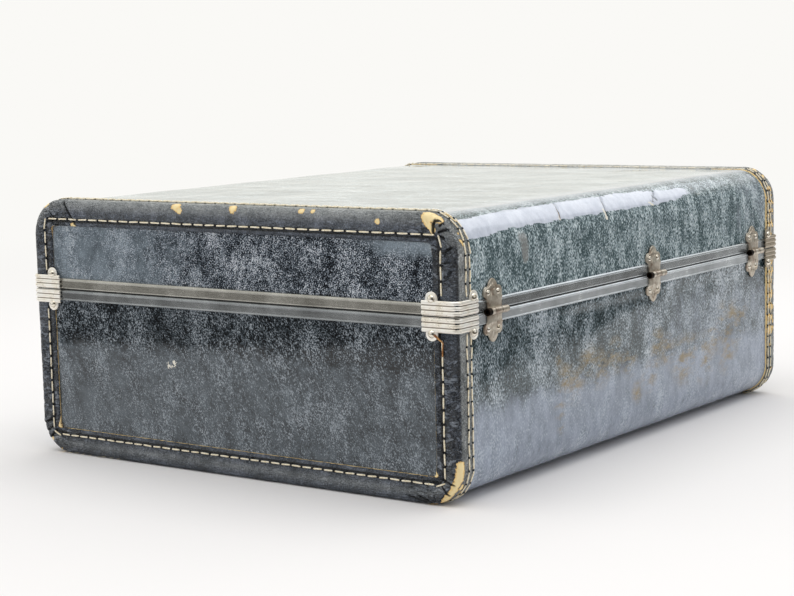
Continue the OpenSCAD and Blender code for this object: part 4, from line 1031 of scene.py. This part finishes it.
def clip_corner(depth):
    """The ribbed strip of one clip, at the right-hand corner of the back, as a sheet."""
    bm = bmesh.new()
    out = CLIP_GAP + CLIP_METAL - 0.25
    points, steps = [], 8
    for i in range(RIBS * steps + 1):
        phase = (i % steps) / steps
        bulge = math.sin(math.pi * phase / 0.875) ** 0.7 if 0 < phase < 0.875 else 0
        points.append((END_X + out + RIB_RISE * bulge, i / (RIBS * steps)))
    line = [bm.verts.new((x, SIDE_Y - CLIP_END, depth - CLIP_HEIGHT + share * CLIP_HEIGHT)) for x, share in points]
    for a, b in zip(line, line[1:]):
        bm.edges.new((a, b))
    geom = run(bm, bm.verts[:] + bm.edges[:], (0, CLIP_END - ROLL, 0), 2.0)
    geom = turn(bm, geom, (END_X - ROLL, SIDE_Y - ROLL, 0), 90, 10, axis=(0, 0, 1))
    run(bm, geom, (-(CLIP_SIDE - ROLL), 0, 0), 2.0)
    bmesh.ops.remove_doubles(bm, verts=bm.verts, dist=0.001)
    face_out(bm)
    torn = []
    for face in bm.faces:
        middle = face.calc_center_median()
        share = (middle.z - depth + CLIP_HEIGHT) / CLIP_HEIGHT * RIBS
        angle = math.degrees(math.atan2(middle.y - SIDE_Y + ROLL, middle.x - END_X + ROLL))
        if 26 < angle < 62 and middle.x > END_X - ROLL and middle.y > SIDE_Y - ROLL and share % 1 > 0.72 and share < 2.9:
            torn.append(face)
    bmesh.ops.delete(bm, geom=torn, context="FACES")
    bmesh.ops.solidify(bm, geom=bm.faces[:], thickness=0.8)
    bmesh.ops.recalc_face_normals(bm, faces=bm.faces)
    for centre, quarter in (
            ((END_X + CLIP_GAP + CLIP_METAL / 2, SIDE_Y - END_NAIL, depth - TAB_DROP), Matrix.Rotation(math.pi / 2, 4, "Y")),
            ((END_X - SIDE_NAIL, SIDE_Y + CLIP_GAP + CLIP_METAL / 2, depth - TAB_DROP), Matrix.Rotation(math.pi / 2, 4, "X"))):
        tab = bmesh.ops.create_cone(bm, cap_ends=True, segments=30, radius1=TAB_RADIUS, radius2=TAB_RADIUS, depth=0.9,
                                    matrix=Matrix.Translation(centre) @ quarter)["verts"]
        rim = [e for e in bm.edges if e.verts[0] in tab and e.verts[1] in tab
               and e.calc_face_angle(0) > math.radians(60)]
        bmesh.ops.bevel(bm, geom=rim, offset=0.28, segments=2, affect="EDGES", profile=0.5, material=-1)
    return template(bm)


def dome(radius, height, rim=0.18):
    """A domed nail head on the origin, standing along Z, with a low cylindrical rim."""
    bm = bmesh.new()
    ball = (radius ** 2 + (height - rim) ** 2) / (2 * (height - rim))
    sweep = math.asin(radius / ball)
    line = [bm.verts.new((radius, 0, 0))]
    line += [bm.verts.new((ball * math.sin(sweep * (6 - i) / 6), 0, height - ball + ball * math.cos(sweep * (6 - i) / 6)))
             for i in range(7)]
    for a, b in zip(line, line[1:]):
        bm.edges.new((a, b))
    bmesh.ops.spin(bm, geom=bm.verts[:] + bm.edges[:], cent=(0, 0, 0), axis=(0, 0, 1), angle=math.tau, steps=22,
                   use_merge=True, use_duplicate=False)
    bmesh.ops.remove_doubles(bm, verts=bm.verts, dist=0.005)
    bmesh.ops.holes_fill(bm, edges=bm.edges, sides=0)
    bmesh.ops.recalc_face_normals(bm, faces=bm.faces)
    return template(bm)


def standing(point, normal):
    """Matrix that stands a shape drawn along Z on a surface."""
    return Matrix.Translation(point) @ Vector(normal).to_track_quat("Z", "Y").to_matrix().to_4x4()


def groove(point):
    """1 in the grooves between the ribs of a clip, where dirt stays, and 0 on the ribs and tabs."""
    share = (CLIP_HEIGHT - abs(point.z - PARTING) + PARTING - BASE_RIM) / CLIP_HEIGHT * RIBS
    return 1 - ease(min(share % 1, 0.875 - share % 1 if share % 1 < 0.875 else 0), 0.0, 0.13) if 0 < share < RIBS else 0


clip_nail = dome(2.6, 1.75)
face_of_tab = CLIP_GAP + CLIP_METAL - 0.05
for half, (depth, flip) in HALVES.items():
    strip = clip_corner(depth)
    bm, nails = bmesh.new(), bmesh.new()
    for mirror in (Matrix.Identity(4), MIRROR_X, MIRROR_Y, MIRROR_X @ MIRROR_Y):
        stamp(bm, strip, flip @ mirror)
        for point, normal in (((END_X + face_of_tab, SIDE_Y - END_NAIL, depth - TAB_DROP), (1, 0, 0)),
                              ((END_X - SIDE_NAIL, SIDE_Y + face_of_tab, depth - TAB_DROP), (0, 1, 0))):
            lean = Vector(normal) + Vector((hand.uniform(-0.06, 0.06), hand.uniform(-0.06, 0.06), hand.uniform(-0.06, 0.06)))
            stamp(nails, clip_nail, flip @ mirror @ standing(Vector(point), lean))
    bmesh.ops.recalc_face_normals(nails, faces=nails.faces)
    keep(bm, half + "_ribbed_clips", half, [clip_nickel], [half + "_corner_clips"], sharp=50,
         paint={"dirt": groove, "dull": lambda p: ease(-p.x, 0, 100)})
    keep(nails, half + "_clip_nail_heads", half, [nail_nickel], [half + "_clip_nails"], sharp=50)

# %% [markdown]
# ## Hinges
# Each leaf is stamped sheet with a wavy outline: a straight neck, two lobes for the nails and a
# pointed finial. Half of the outline is drawn through a few points, mirrored and filled, and the
# plate's edge is bevelled so that it catches the light. A raised drop and a ring are pressed into
# the middle. The leaves meet in a barrel of knuckles, open at its ends, round a shorter pin.

# %% Hinge leaves
LEAF_OUT, LEAF_METAL, KNUCKLE, KNUCKLES, HINGE_Y = SIDE_Y + 1.0, 1.0, 2.3, 22, SIDE_Y + 2.45
NAIL_X, NAIL_Z = 5.5, 11.0
LEAF_HALF = [(7.75, 0.4), (7.75, 4.6), (8.0, 6.4), (9.1, 8.0), (10.0, 9.6), (10.15, 11.4), (9.6, 13.1), (8.4, 14.4),
             (6.9, 14.9), (5.5, 14.7), (4.9, 15.5), (4.2, 16.8), (3.2, 18.0), (2.0, 18.9), (0.9, 19.45), (0.0, 19.6)]
DROP_HALF = [(0.0, 17.0), (0.9, 15.6), (1.55, 14.2), (1.5, 13.0), (0.8, 12.3), (0.0, 12.1)]


def through(points, cuts):
    """A smooth line through a few points, with that many parts between two of them."""
    ends = [points[0]] + list(points) + [points[-1]]
    line = []
    for a, b, c, d in zip(ends, ends[1:], ends[2:], ends[3:]):
        for i in range(cuts):
            t = i / cuts
            line.append(tuple(0.5 * (2 * q + (r - p) * t + (2 * p - 5 * q + 4 * r - s) * t * t
                                     + (3 * q - p - 3 * r + s) * t ** 3) for p, q, r, s in zip(a, b, c, d)))
    return line + [points[-1]]


def plate(bm, half_line, y_back, y_front, edge):
    """A flat plate from half of its outline in X and Z, facing +Y, with a rounded front edge."""
    start = len(bm.verts)
    ring = [(x, z) for x, z in half_line] + [(-x, z) for x, z in reversed(half_line) if abs(x) > 0.01]
    face = bm.faces.new([bm.verts.new((x, y_back, z)) for x, z in ring])
    made = bmesh.ops.extrude_face_region(bm, geom=[face])["geom"]
    fronts = [g for g in made if isinstance(g, bmesh.types.BMFace)]
    bmesh.ops.translate(bm, vec=(0, y_front - y_back, 0), verts=[g for g in made if isinstance(g, bmesh.types.BMVert)])
    bmesh.ops.bevel(bm, geom=fronts[0].edges[:], offset=edge, segments=3, affect="EDGES", profile=0.5, material=-1)
    bm.verts.ensure_lookup_table()
    bmesh.ops.recalc_face_normals(bm, faces=list({f for v in bm.verts[start:] for f in v.link_faces}))


def strand(bm, points, radius, sides=6):
    """A thin closed tube through the points."""
    points = [Vector(p) for p in points]
    ways = [(b - a).normalized() for a, b in zip(points, points[1:])]
    ways = [ways[0]] + [(a + b).normalized() for a, b in zip(ways, ways[1:])] + [ways[-1]]
    frames = [Matrix.Translation(p) @ w.to_track_quat("Z", "Y").to_matrix().to_4x4() for p, w in zip(points, ways)]
    verts = bmesh.ops.create_circle(bm, segments=sides, radius=radius, matrix=frames[0])["verts"]
    edges = list({e for v in verts for e in v.link_edges})
    bm.faces.new(verts)
    for old, new in zip(frames, frames[1:]):
        made = bmesh.ops.extrude_edge_only(bm, edges=edges)["geom"]
        verts = [g for g in made if isinstance(g, bmesh.types.BMVert)]
        edges = [e for e in made if isinstance(e, bmesh.types.BMEdge) and e.verts[0] in verts and e.verts[1] in verts]
        bmesh.ops.transform(bm, matrix=new @ old.inverted(), verts=verts)
    bmesh.ops.contextual_create(bm, geom=edges)


def knuckle(bm, start, end, bore):
    """One knuckle of the barrel: a short tube round a bore."""
    lying = Matrix.Translation((start, HINGE_Y, 0)) @ Matrix.Rotation(math.pi / 2, 4, "Y")
    known = set(bm.verts)
    for radius in (KNUCKLE, bore):
        bmesh.ops.create_circle(bm, segments=28, radius=radius, matrix=lying)
    fresh = [v for v in bm.verts if v not in known]
    ring = bmesh.ops.bridge_loops(bm, edges=list({e for v in fresh for e in v.link_edges}))["faces"]
    run(bm, ring + list({e for f in ring for e in f.edges}) + fresh, (end - start, 0, 0), end - start)
    faces = list({f for v in bm.verts if v not in known for f in v.link_faces})
    bmesh.ops.recalc_face_normals(bm, faces=faces)


def leaf_drop(z):
    """How far a leaf is bent down beyond the rail, towards the fibre."""
    return 1.3 * ease(z, 7.4, 9.6)


def leaf(middle):
    """A leaf that points up from the pin, with the middle knuckle or the two outer ones."""
    bm = bmesh.new()
    outline = through(LEAF_HALF, 3)
    plate(bm, outline, LEAF_OUT - LEAF_METAL, LEAF_OUT, 0.32)
    drop = through(DROP_HALF, 3)
    ring = [(x, LEAF_OUT - 0.02, z) for x, z in drop] + [(-x, LEAF_OUT - 0.02, z) for x, z in reversed(drop)]
    strand(bm, ring, 0.48)
    for side in (-1, 1):
        strand(bm, [(side * 0.5, LEAF_OUT - 0.05, 12.0), (side * 1.6, LEAF_OUT - 0.05, 10.6), (side * 3.0, LEAF_OUT - 0.05, 8.4),
                    (side * 3.4, LEAF_OUT - 0.1, 6.4)], 0.4)
        strand(bm, [(side * 2.2, LEAF_OUT - 0.03, 15.6), (side * 4.6, LEAF_OUT - 0.03, 13.9), (side * 7.4, LEAF_OUT - 0.03, 13.6),
                    (side * 8.8, LEAF_OUT - 0.05, 12.0)], 0.36)
    for vert in bm.verts:
        vert.co.y -= leaf_drop(vert.co.z)
    third = KNUCKLES / 6
    if middle:
        knuckle(bm, -third + 0.3, third - 0.3, 1.5)
    else:
        knuckle(bm, third + 0.3, KNUCKLES / 2 - 3.6, 1.5)
        knuckle(bm, -KNUCKLES / 2, -third - 0.3, 1.5)
    bmesh.ops.recalc_face_normals(bm, faces=bm.faces)
    return template(bm)


small_nail = dome(2.1, 1.25, 0.12)
HINGES = {"left": -181, "middle": -22, "right": 183}
leaves = {"lid": leaf(True), "base": leaf(False)}
for half, shape in leaves.items():
    stood = Matrix.Translation((0, 0, PARTING)) @ Matrix.Diagonal((1, 1, 1 if half == "lid" else -1, 1))
    nails = bmesh.new()
    for title, x in HINGES.items():
        bm = bmesh.new()
        stamp(bm, shape, Matrix.Translation((x, 0, 0)) @ stood)
        keep(bm, f"{half}_stamped_leaf_{title}", half, [hinge_plate], [f"hinge_leaf_{half}_{title}"], sharp=40)
        for nail_x in (-NAIL_X, NAIL_X):
            stamp(nails, small_nail, Matrix.Translation((x, 0, 0)) @ stood @ standing((nail_x, LEAF_OUT - leaf_drop(NAIL_Z) - 0.03, NAIL_Z), (0, 1, 0)))
    bmesh.ops.recalc_face_normals(nails, faces=nails.faces)
    keep(nails, half + "_hinge_nail_heads", half, [nail_nickel], [half + "_hinge_nails"], sharp=50)

# The pins and the barrels' end knuckles take the near-black finish: painted shade of the hollow barrel.
bm = bmesh.new()
for x in HINGES.values():
    bmesh.ops.create_cone(bm, cap_ends=True, segments=20, radius1=1.35, radius2=1.35, depth=KNUCKLES - 5,
                          matrix=Matrix.Translation((x, HINGE_Y, PARTING)) @ Matrix.Rotation(math.pi / 2, 4, "Y"))
for x in HINGES.values():
    for start, end, bore in ((KNUCKLES / 2 - 3.6, KNUCKLES / 2, 1.55),):
        known = set(bm.verts)
        knuckle(bm, start, end, bore)
        bmesh.ops.translate(bm, vec=(x, 0, PARTING), verts=[v for v in bm.verts if v not in known])
keep(bm, "hinge_pin_rods", "base", [barrel_shade], ["hinge_pins"], softened=0.2)

# %% [markdown]
# ## Latches, handle plates and small parts
# The front is not in the photograph, so these follow what such cases have. Each starts from a copy
# of its solid: the loose triangles are welded, flat ones are joined, and every edge is rounded as
# pressed or cast metal is.

# %% Rounded copies of the solids
def rounded(node, name, body, made, edge, segments=3):
    """Replaces a solid by a copy with rounded edges."""
    bm = bmesh.new()
    bm.from_mesh(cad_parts[node].data)
    bmesh.ops.scale(bm, vec=(1 / MM,) * 3, verts=bm.verts)
    bmesh.ops.remove_doubles(bm, verts=bm.verts, dist=0.002)
    bmesh.ops.dissolve_limit(bm, angle_limit=math.radians(3), verts=bm.verts, edges=bm.edges)
    bends = [e for e in bm.edges if e.calc_face_angle(0) > math.radians(35)]
    bmesh.ops.bevel(bm, geom=bends, offset=edge, segments=segments, affect="EDGES", profile=0.5, material=-1,
                    clamp_overlap=True)
    bmesh.ops.recalc_face_normals(bm, faces=bm.faces)
    return keep(bm, name, body, [made], [node], sharp=50)


for side in ("left", "right"):
    rounded(f"lock_case_{side}", f"rounded_lock_case_{side}", "base", latch_nickel, 0.7)
    rounded(f"slide_button_{side}", f"rounded_slide_button_{side}", f"slide_{side}", nail_nickel, 0.5)
    rounded(f"handle_plate_{side}", f"rounded_handle_plate_{side}", "base", latch_nickel, 0.4)
    rounded(f"handle_cap_{side}", f"rounded_handle_cap_{side}", "handle", latch_nickel, 0.8)
    rounded(f"hasp_plate_{side}", f"rounded_hasp_plate_{side}", "lid", latch_nickel, 0.35)
    rounded(f"hasp_{side}", f"rounded_hasp_{side}", f"hasp_{side}", clip_nickel, 0.45)
rounded("hasp_pins", "rounded_hasp_pins", "lid", nail_nickel, 0.3)
rounded("dust_strips", "folded_dust_strips", "base", rail_steel_painted_light, 0.2)
rounded("bed_pads", "moulded_bed_pads", "base",
        plain_noise("moulded_black_rubber", 1.5, [(0.4, "#1c1c1d"), (0.6, "#303031")], 0.05, Roughness=0.7), 0.8)

# %% [markdown]
# The nails of the latches and plates are the same small domed heads as on the hinges, stamped at
# the places of the solids. Each group of solids holds its nails apart, so their middles are found
# by splitting the mesh into loose parts.

# %% Nails of the latches and the bed's screws
def middles(node):
    """Middle of each loose part of a solid, in millimetres."""
    bm = bmesh.new()
    bm.from_mesh(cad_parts[node].data)
    bmesh.ops.remove_doubles(bm, verts=bm.verts, dist=0.002 * MM)
    left, found = set(bm.verts), []
    while left:
        part, edge = set(), {next(iter(left))}
        while edge:
            part |= edge
            edge = {e.other_vert(v) for v in edge for e in v.link_edges} - part
        left -= part
        low = Vector([min(v.co[i] for v in part) for i in range(3)]) / MM
        high = Vector([max(v.co[i] for v in part) for i in range(3)]) / MM
        found.append((low, high))
    bm.free()
    return sorted(found, key=lambda box: tuple(box[0]))


for node, body in (("lock_nails", "base"), ("handle_nails", "base"), ("hasp_plate_nails", "lid")):
    bm = bmesh.new()
    for low, high in middles(node):
        stamp(bm, small_nail, standing(Vector(((low.x + high.x) / 2, high.y + 0.02, (low.z + high.z) / 2)), (0, -1, 0)))
    keep(bm, node + "_heads", body, [nail_nickel], [node], sharp=50)

bm = bmesh.new()
screw = dome(4, 2, 0.3)
for low, high in middles("bed_screws"):
    stamp(bm, screw, Matrix.Translation(((low.x + high.x) / 2, (low.y + high.y) / 2, low.z)))
    slot_cut = bmesh.ops.create_cube(bm, size=1)["verts"]
    bmesh.ops.transform(bm, verts=slot_cut, matrix=Matrix.Translation(((low.x + high.x) / 2, (low.y + high.y) / 2, high.z - 0.1))
                        @ Matrix.Rotation(hand.uniform(0, 3), 4, "Z") @ Matrix.Diagonal((5.2, 0.9, 0.5, 1)))
bmesh.ops.recalc_face_normals(bm, faces=bm.faces)
keep(bm, "bed_screw_heads", "base", [latch_nickel], ["bed_screws"], sharp=50)

# %% [markdown]
# ## Handle grip
# The grip is leather over a stiff core: an oval swept along an arc, thicker in the middle, with a
# sewn seam along its underside. The section is a circle carried round the arc's centre.

# %% Handle grip
GRIP_RADIUS, GRIP_SAG = 8.0, 18.0
grip_low, grip_high = (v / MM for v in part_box("handle_grip"))
cap_low, cap_high = (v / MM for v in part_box("handle_cap_right"))
GRIP_Y, PIVOT_Z, GRIP_HALF = (grip_low.y + grip_high.y) / 2, (cap_low.z + cap_high.z) / 2, grip_high.x
GRIP_ARC = (GRIP_HALF ** 2 + GRIP_SAG ** 2) / (2 * GRIP_SAG)
ARC_Z = PIVOT_Z - GRIP_SAG + GRIP_ARC
half_angle = math.degrees(math.asin(GRIP_HALF / GRIP_ARC))
bm = bmesh.new()
first = Matrix.Translation((0, GRIP_Y, ARC_Z)) @ Matrix.Rotation(math.radians(-half_angle - 6), 4, "Y") @ Matrix.Translation((0, 0, -GRIP_ARC)) @ Matrix.Rotation(math.pi / 2, 4, "Y")
bmesh.ops.create_circle(bm, segments=36, radius=GRIP_RADIUS - 0.35, matrix=first)
bmesh.ops.spin(bm, geom=bm.verts[:] + bm.edges[:], cent=(0, GRIP_Y, ARC_Z), axis=(0, 1, 0),
               angle=math.radians(2 * half_angle + 12), steps=56, use_duplicate=False)
for side in (-1, 1):
    bmesh.ops.bisect_plane(bm, geom=bm.verts[:] + bm.edges[:] + bm.faces[:], plane_co=(side * (GRIP_HALF - 0.05), 0, 0),
                           plane_no=(side, 0, 0), clear_outer=True)
bmesh.ops.holes_fill(bm, edges=bm.edges, sides=0)
bmesh.ops.recalc_face_normals(bm, faces=bm.faces)
bm.normal_update()
for vert in bm.verts:
    if abs(vert.co.x) < GRIP_HALF - 0.1:
        swell = 0.5 * (1 - (vert.co.x / GRIP_HALF) ** 2) - 0.3
        flat = Vector((vert.co.x, vert.co.y - GRIP_Y, 0))
        from_arc = math.hypot(vert.co.x, vert.co.z - ARC_Z) - GRIP_ARC
        seam = 0.9 * math.exp(-((vert.co.y - GRIP_Y) / 0.9) ** 2) if from_arc > 0 else 0
        vert.co += vert.normal * (swell + seam + 0.12 * wobble(vert.co, 6, 41))
    vert.co.z = min(vert.co.z, PIVOT_Z + GRIP_RADIUS - 0.1)
keep(bm, "sewn_grip", "handle", [grip_leather], ["handle_grip"], sharp=60)

bm = bmesh.new()
for number in range(-11, 12):
    angle = number * 4.2 / GRIP_ARC
    out = Vector((math.sin(angle), 0, -math.cos(angle)))
    for side in (-1, 1):
        spot = Vector((0, GRIP_Y + side * 2.6, ARC_Z)) + out * (GRIP_ARC + math.sqrt(GRIP_RADIUS ** 2 - 2.6 ** 2) + 0.15)
        stamp(bm, stitch, lay(spot, Vector((out.z, 0, -out.x)), out, 0.46))
bmesh.ops.recalc_face_normals(bm, faces=bm.faces)
keep(bm, "grip_stitches", "handle", [linen_thread], sharp=180)

# %% [markdown]
# ## Loose thread
# One stitch row has come undone by the lower clip of the near corner: a rust-stained end of thread
# lies from the tab's nail to the row. A few short frayed ends stand out under the far lower corner.

# %% Loose and frayed thread
bm = bmesh.new()
strand(bm, [(x, y, z) for x, y, z in through(
    [(222.9, 160.6, 107.4), (224.0, 161.4, 105.4), (224.2, 164.0, 103.4), (223.6, 166.6, 101.6), (223.0, 167.6, 100.2), (222.9, 167.2, 97.0),
     (222.8, 167.0, 92.0)], 4)], 0.42)
strand(bm, [(x, y, z) for x, y, z in through([(222.9, 161.0, 107.0), (223.8, 163.0, 104.8), (223.5, 165.8, 102.6)], 4)], 0.3)
keep(bm, "loose_stained_thread", "base", [loose_thread], sharp=180)

bm = bmesh.new()
for number in range(9):
    y = -158 + number * 6.5 + hand.uniform(-2, 2)
    start = Vector((219.5 + hand.uniform(-1, 1), y, 0.9))
    strand(bm, [start, start + Vector((1.5, hand.uniform(-1.5, 1.5), -0.2)),
                start + Vector((3.2, hand.uniform(-3, 3), hand.uniform(-0.4, 0.4)))], 0.16, 5)
keep(bm, "frayed_ends", "base", [linen_thread], sharp=180)

# %% [markdown]
# ## Inside
# The solids of the boards, lining and machine bed keep their shapes and get materials: birch
# plywood with stretched grain, raw board, and dark lining paper printed with a fine weave.

# %% Finishes of the inside
def wood(name, light, dark, ring):
    """Sawn and sanded wood, its grain stretched along X."""
    made, tree, shader, place = finish(name, Roughness=0.55)
    long = add(tree, "Mapping", Vector=place, Scale=(0.08, 1, 1))
    grain = add(tree, "TexNoise", Vector=long, Scale=cells(ring), Detail=6, Roughness=0.7)
    wire(tree, shader, Base_Color=add(tree, "ValToRGB", Fac=grain, stops=[(0.38, dark), (0.62, light)]))
    wire(tree, shader, Normal=add(tree, "Bump", Height=grain, Strength=0.5, Distance=0.1 * MM))
    return made


made, tree, shader, place = finish("printed_lining_paper", Roughness=0.7)
across = add(tree, "TexWave", Vector=place, Scale=cells(1.6) / 6.28, Distortion=1.0, bands_direction="X")
upright = add(tree, "TexWave", Vector=place, Scale=cells(1.6) / 6.28, Distortion=1.0, bands_direction="Z")
thread_mix = add(tree, "MixRGB", Fac=0.5, Color1=across, Color2=upright)
spots = add(tree, "TexNoise", Vector=place, Scale=cells(20), Detail=4)
tone = add(tree, "MixRGB", Fac=0.6, Color1=thread_mix, Color2=spots)
wire(tree, shader, Base_Color=add(tree, "ValToRGB", Fac=tone, stops=[(0.35, "#3a2f2b"), (0.65, "#5c4e46")]))
wire(tree, shader, Normal=add(tree, "Bump", Height=thread_mix, Strength=0.4, Distance=0.06 * MM))
lining_paper = made
board = wood("raw_bent_board", "#a58a66", "#7d6446", 3.0)
plywood = wood("sanded_birch_plywood", "#c4a67a", "#9c7c50", 2.2)
for node, made in (("base_board", board), ("base_end_boards", board), ("lid_board", board), ("lid_end_boards", board),
                   ("base_lining", lining_paper), ("lid_lining", lining_paper)):
    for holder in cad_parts[node].material_slots:
        holder.material = made
rounded("machine_bed", "edged_machine_bed", "base", plywood, 0.8)
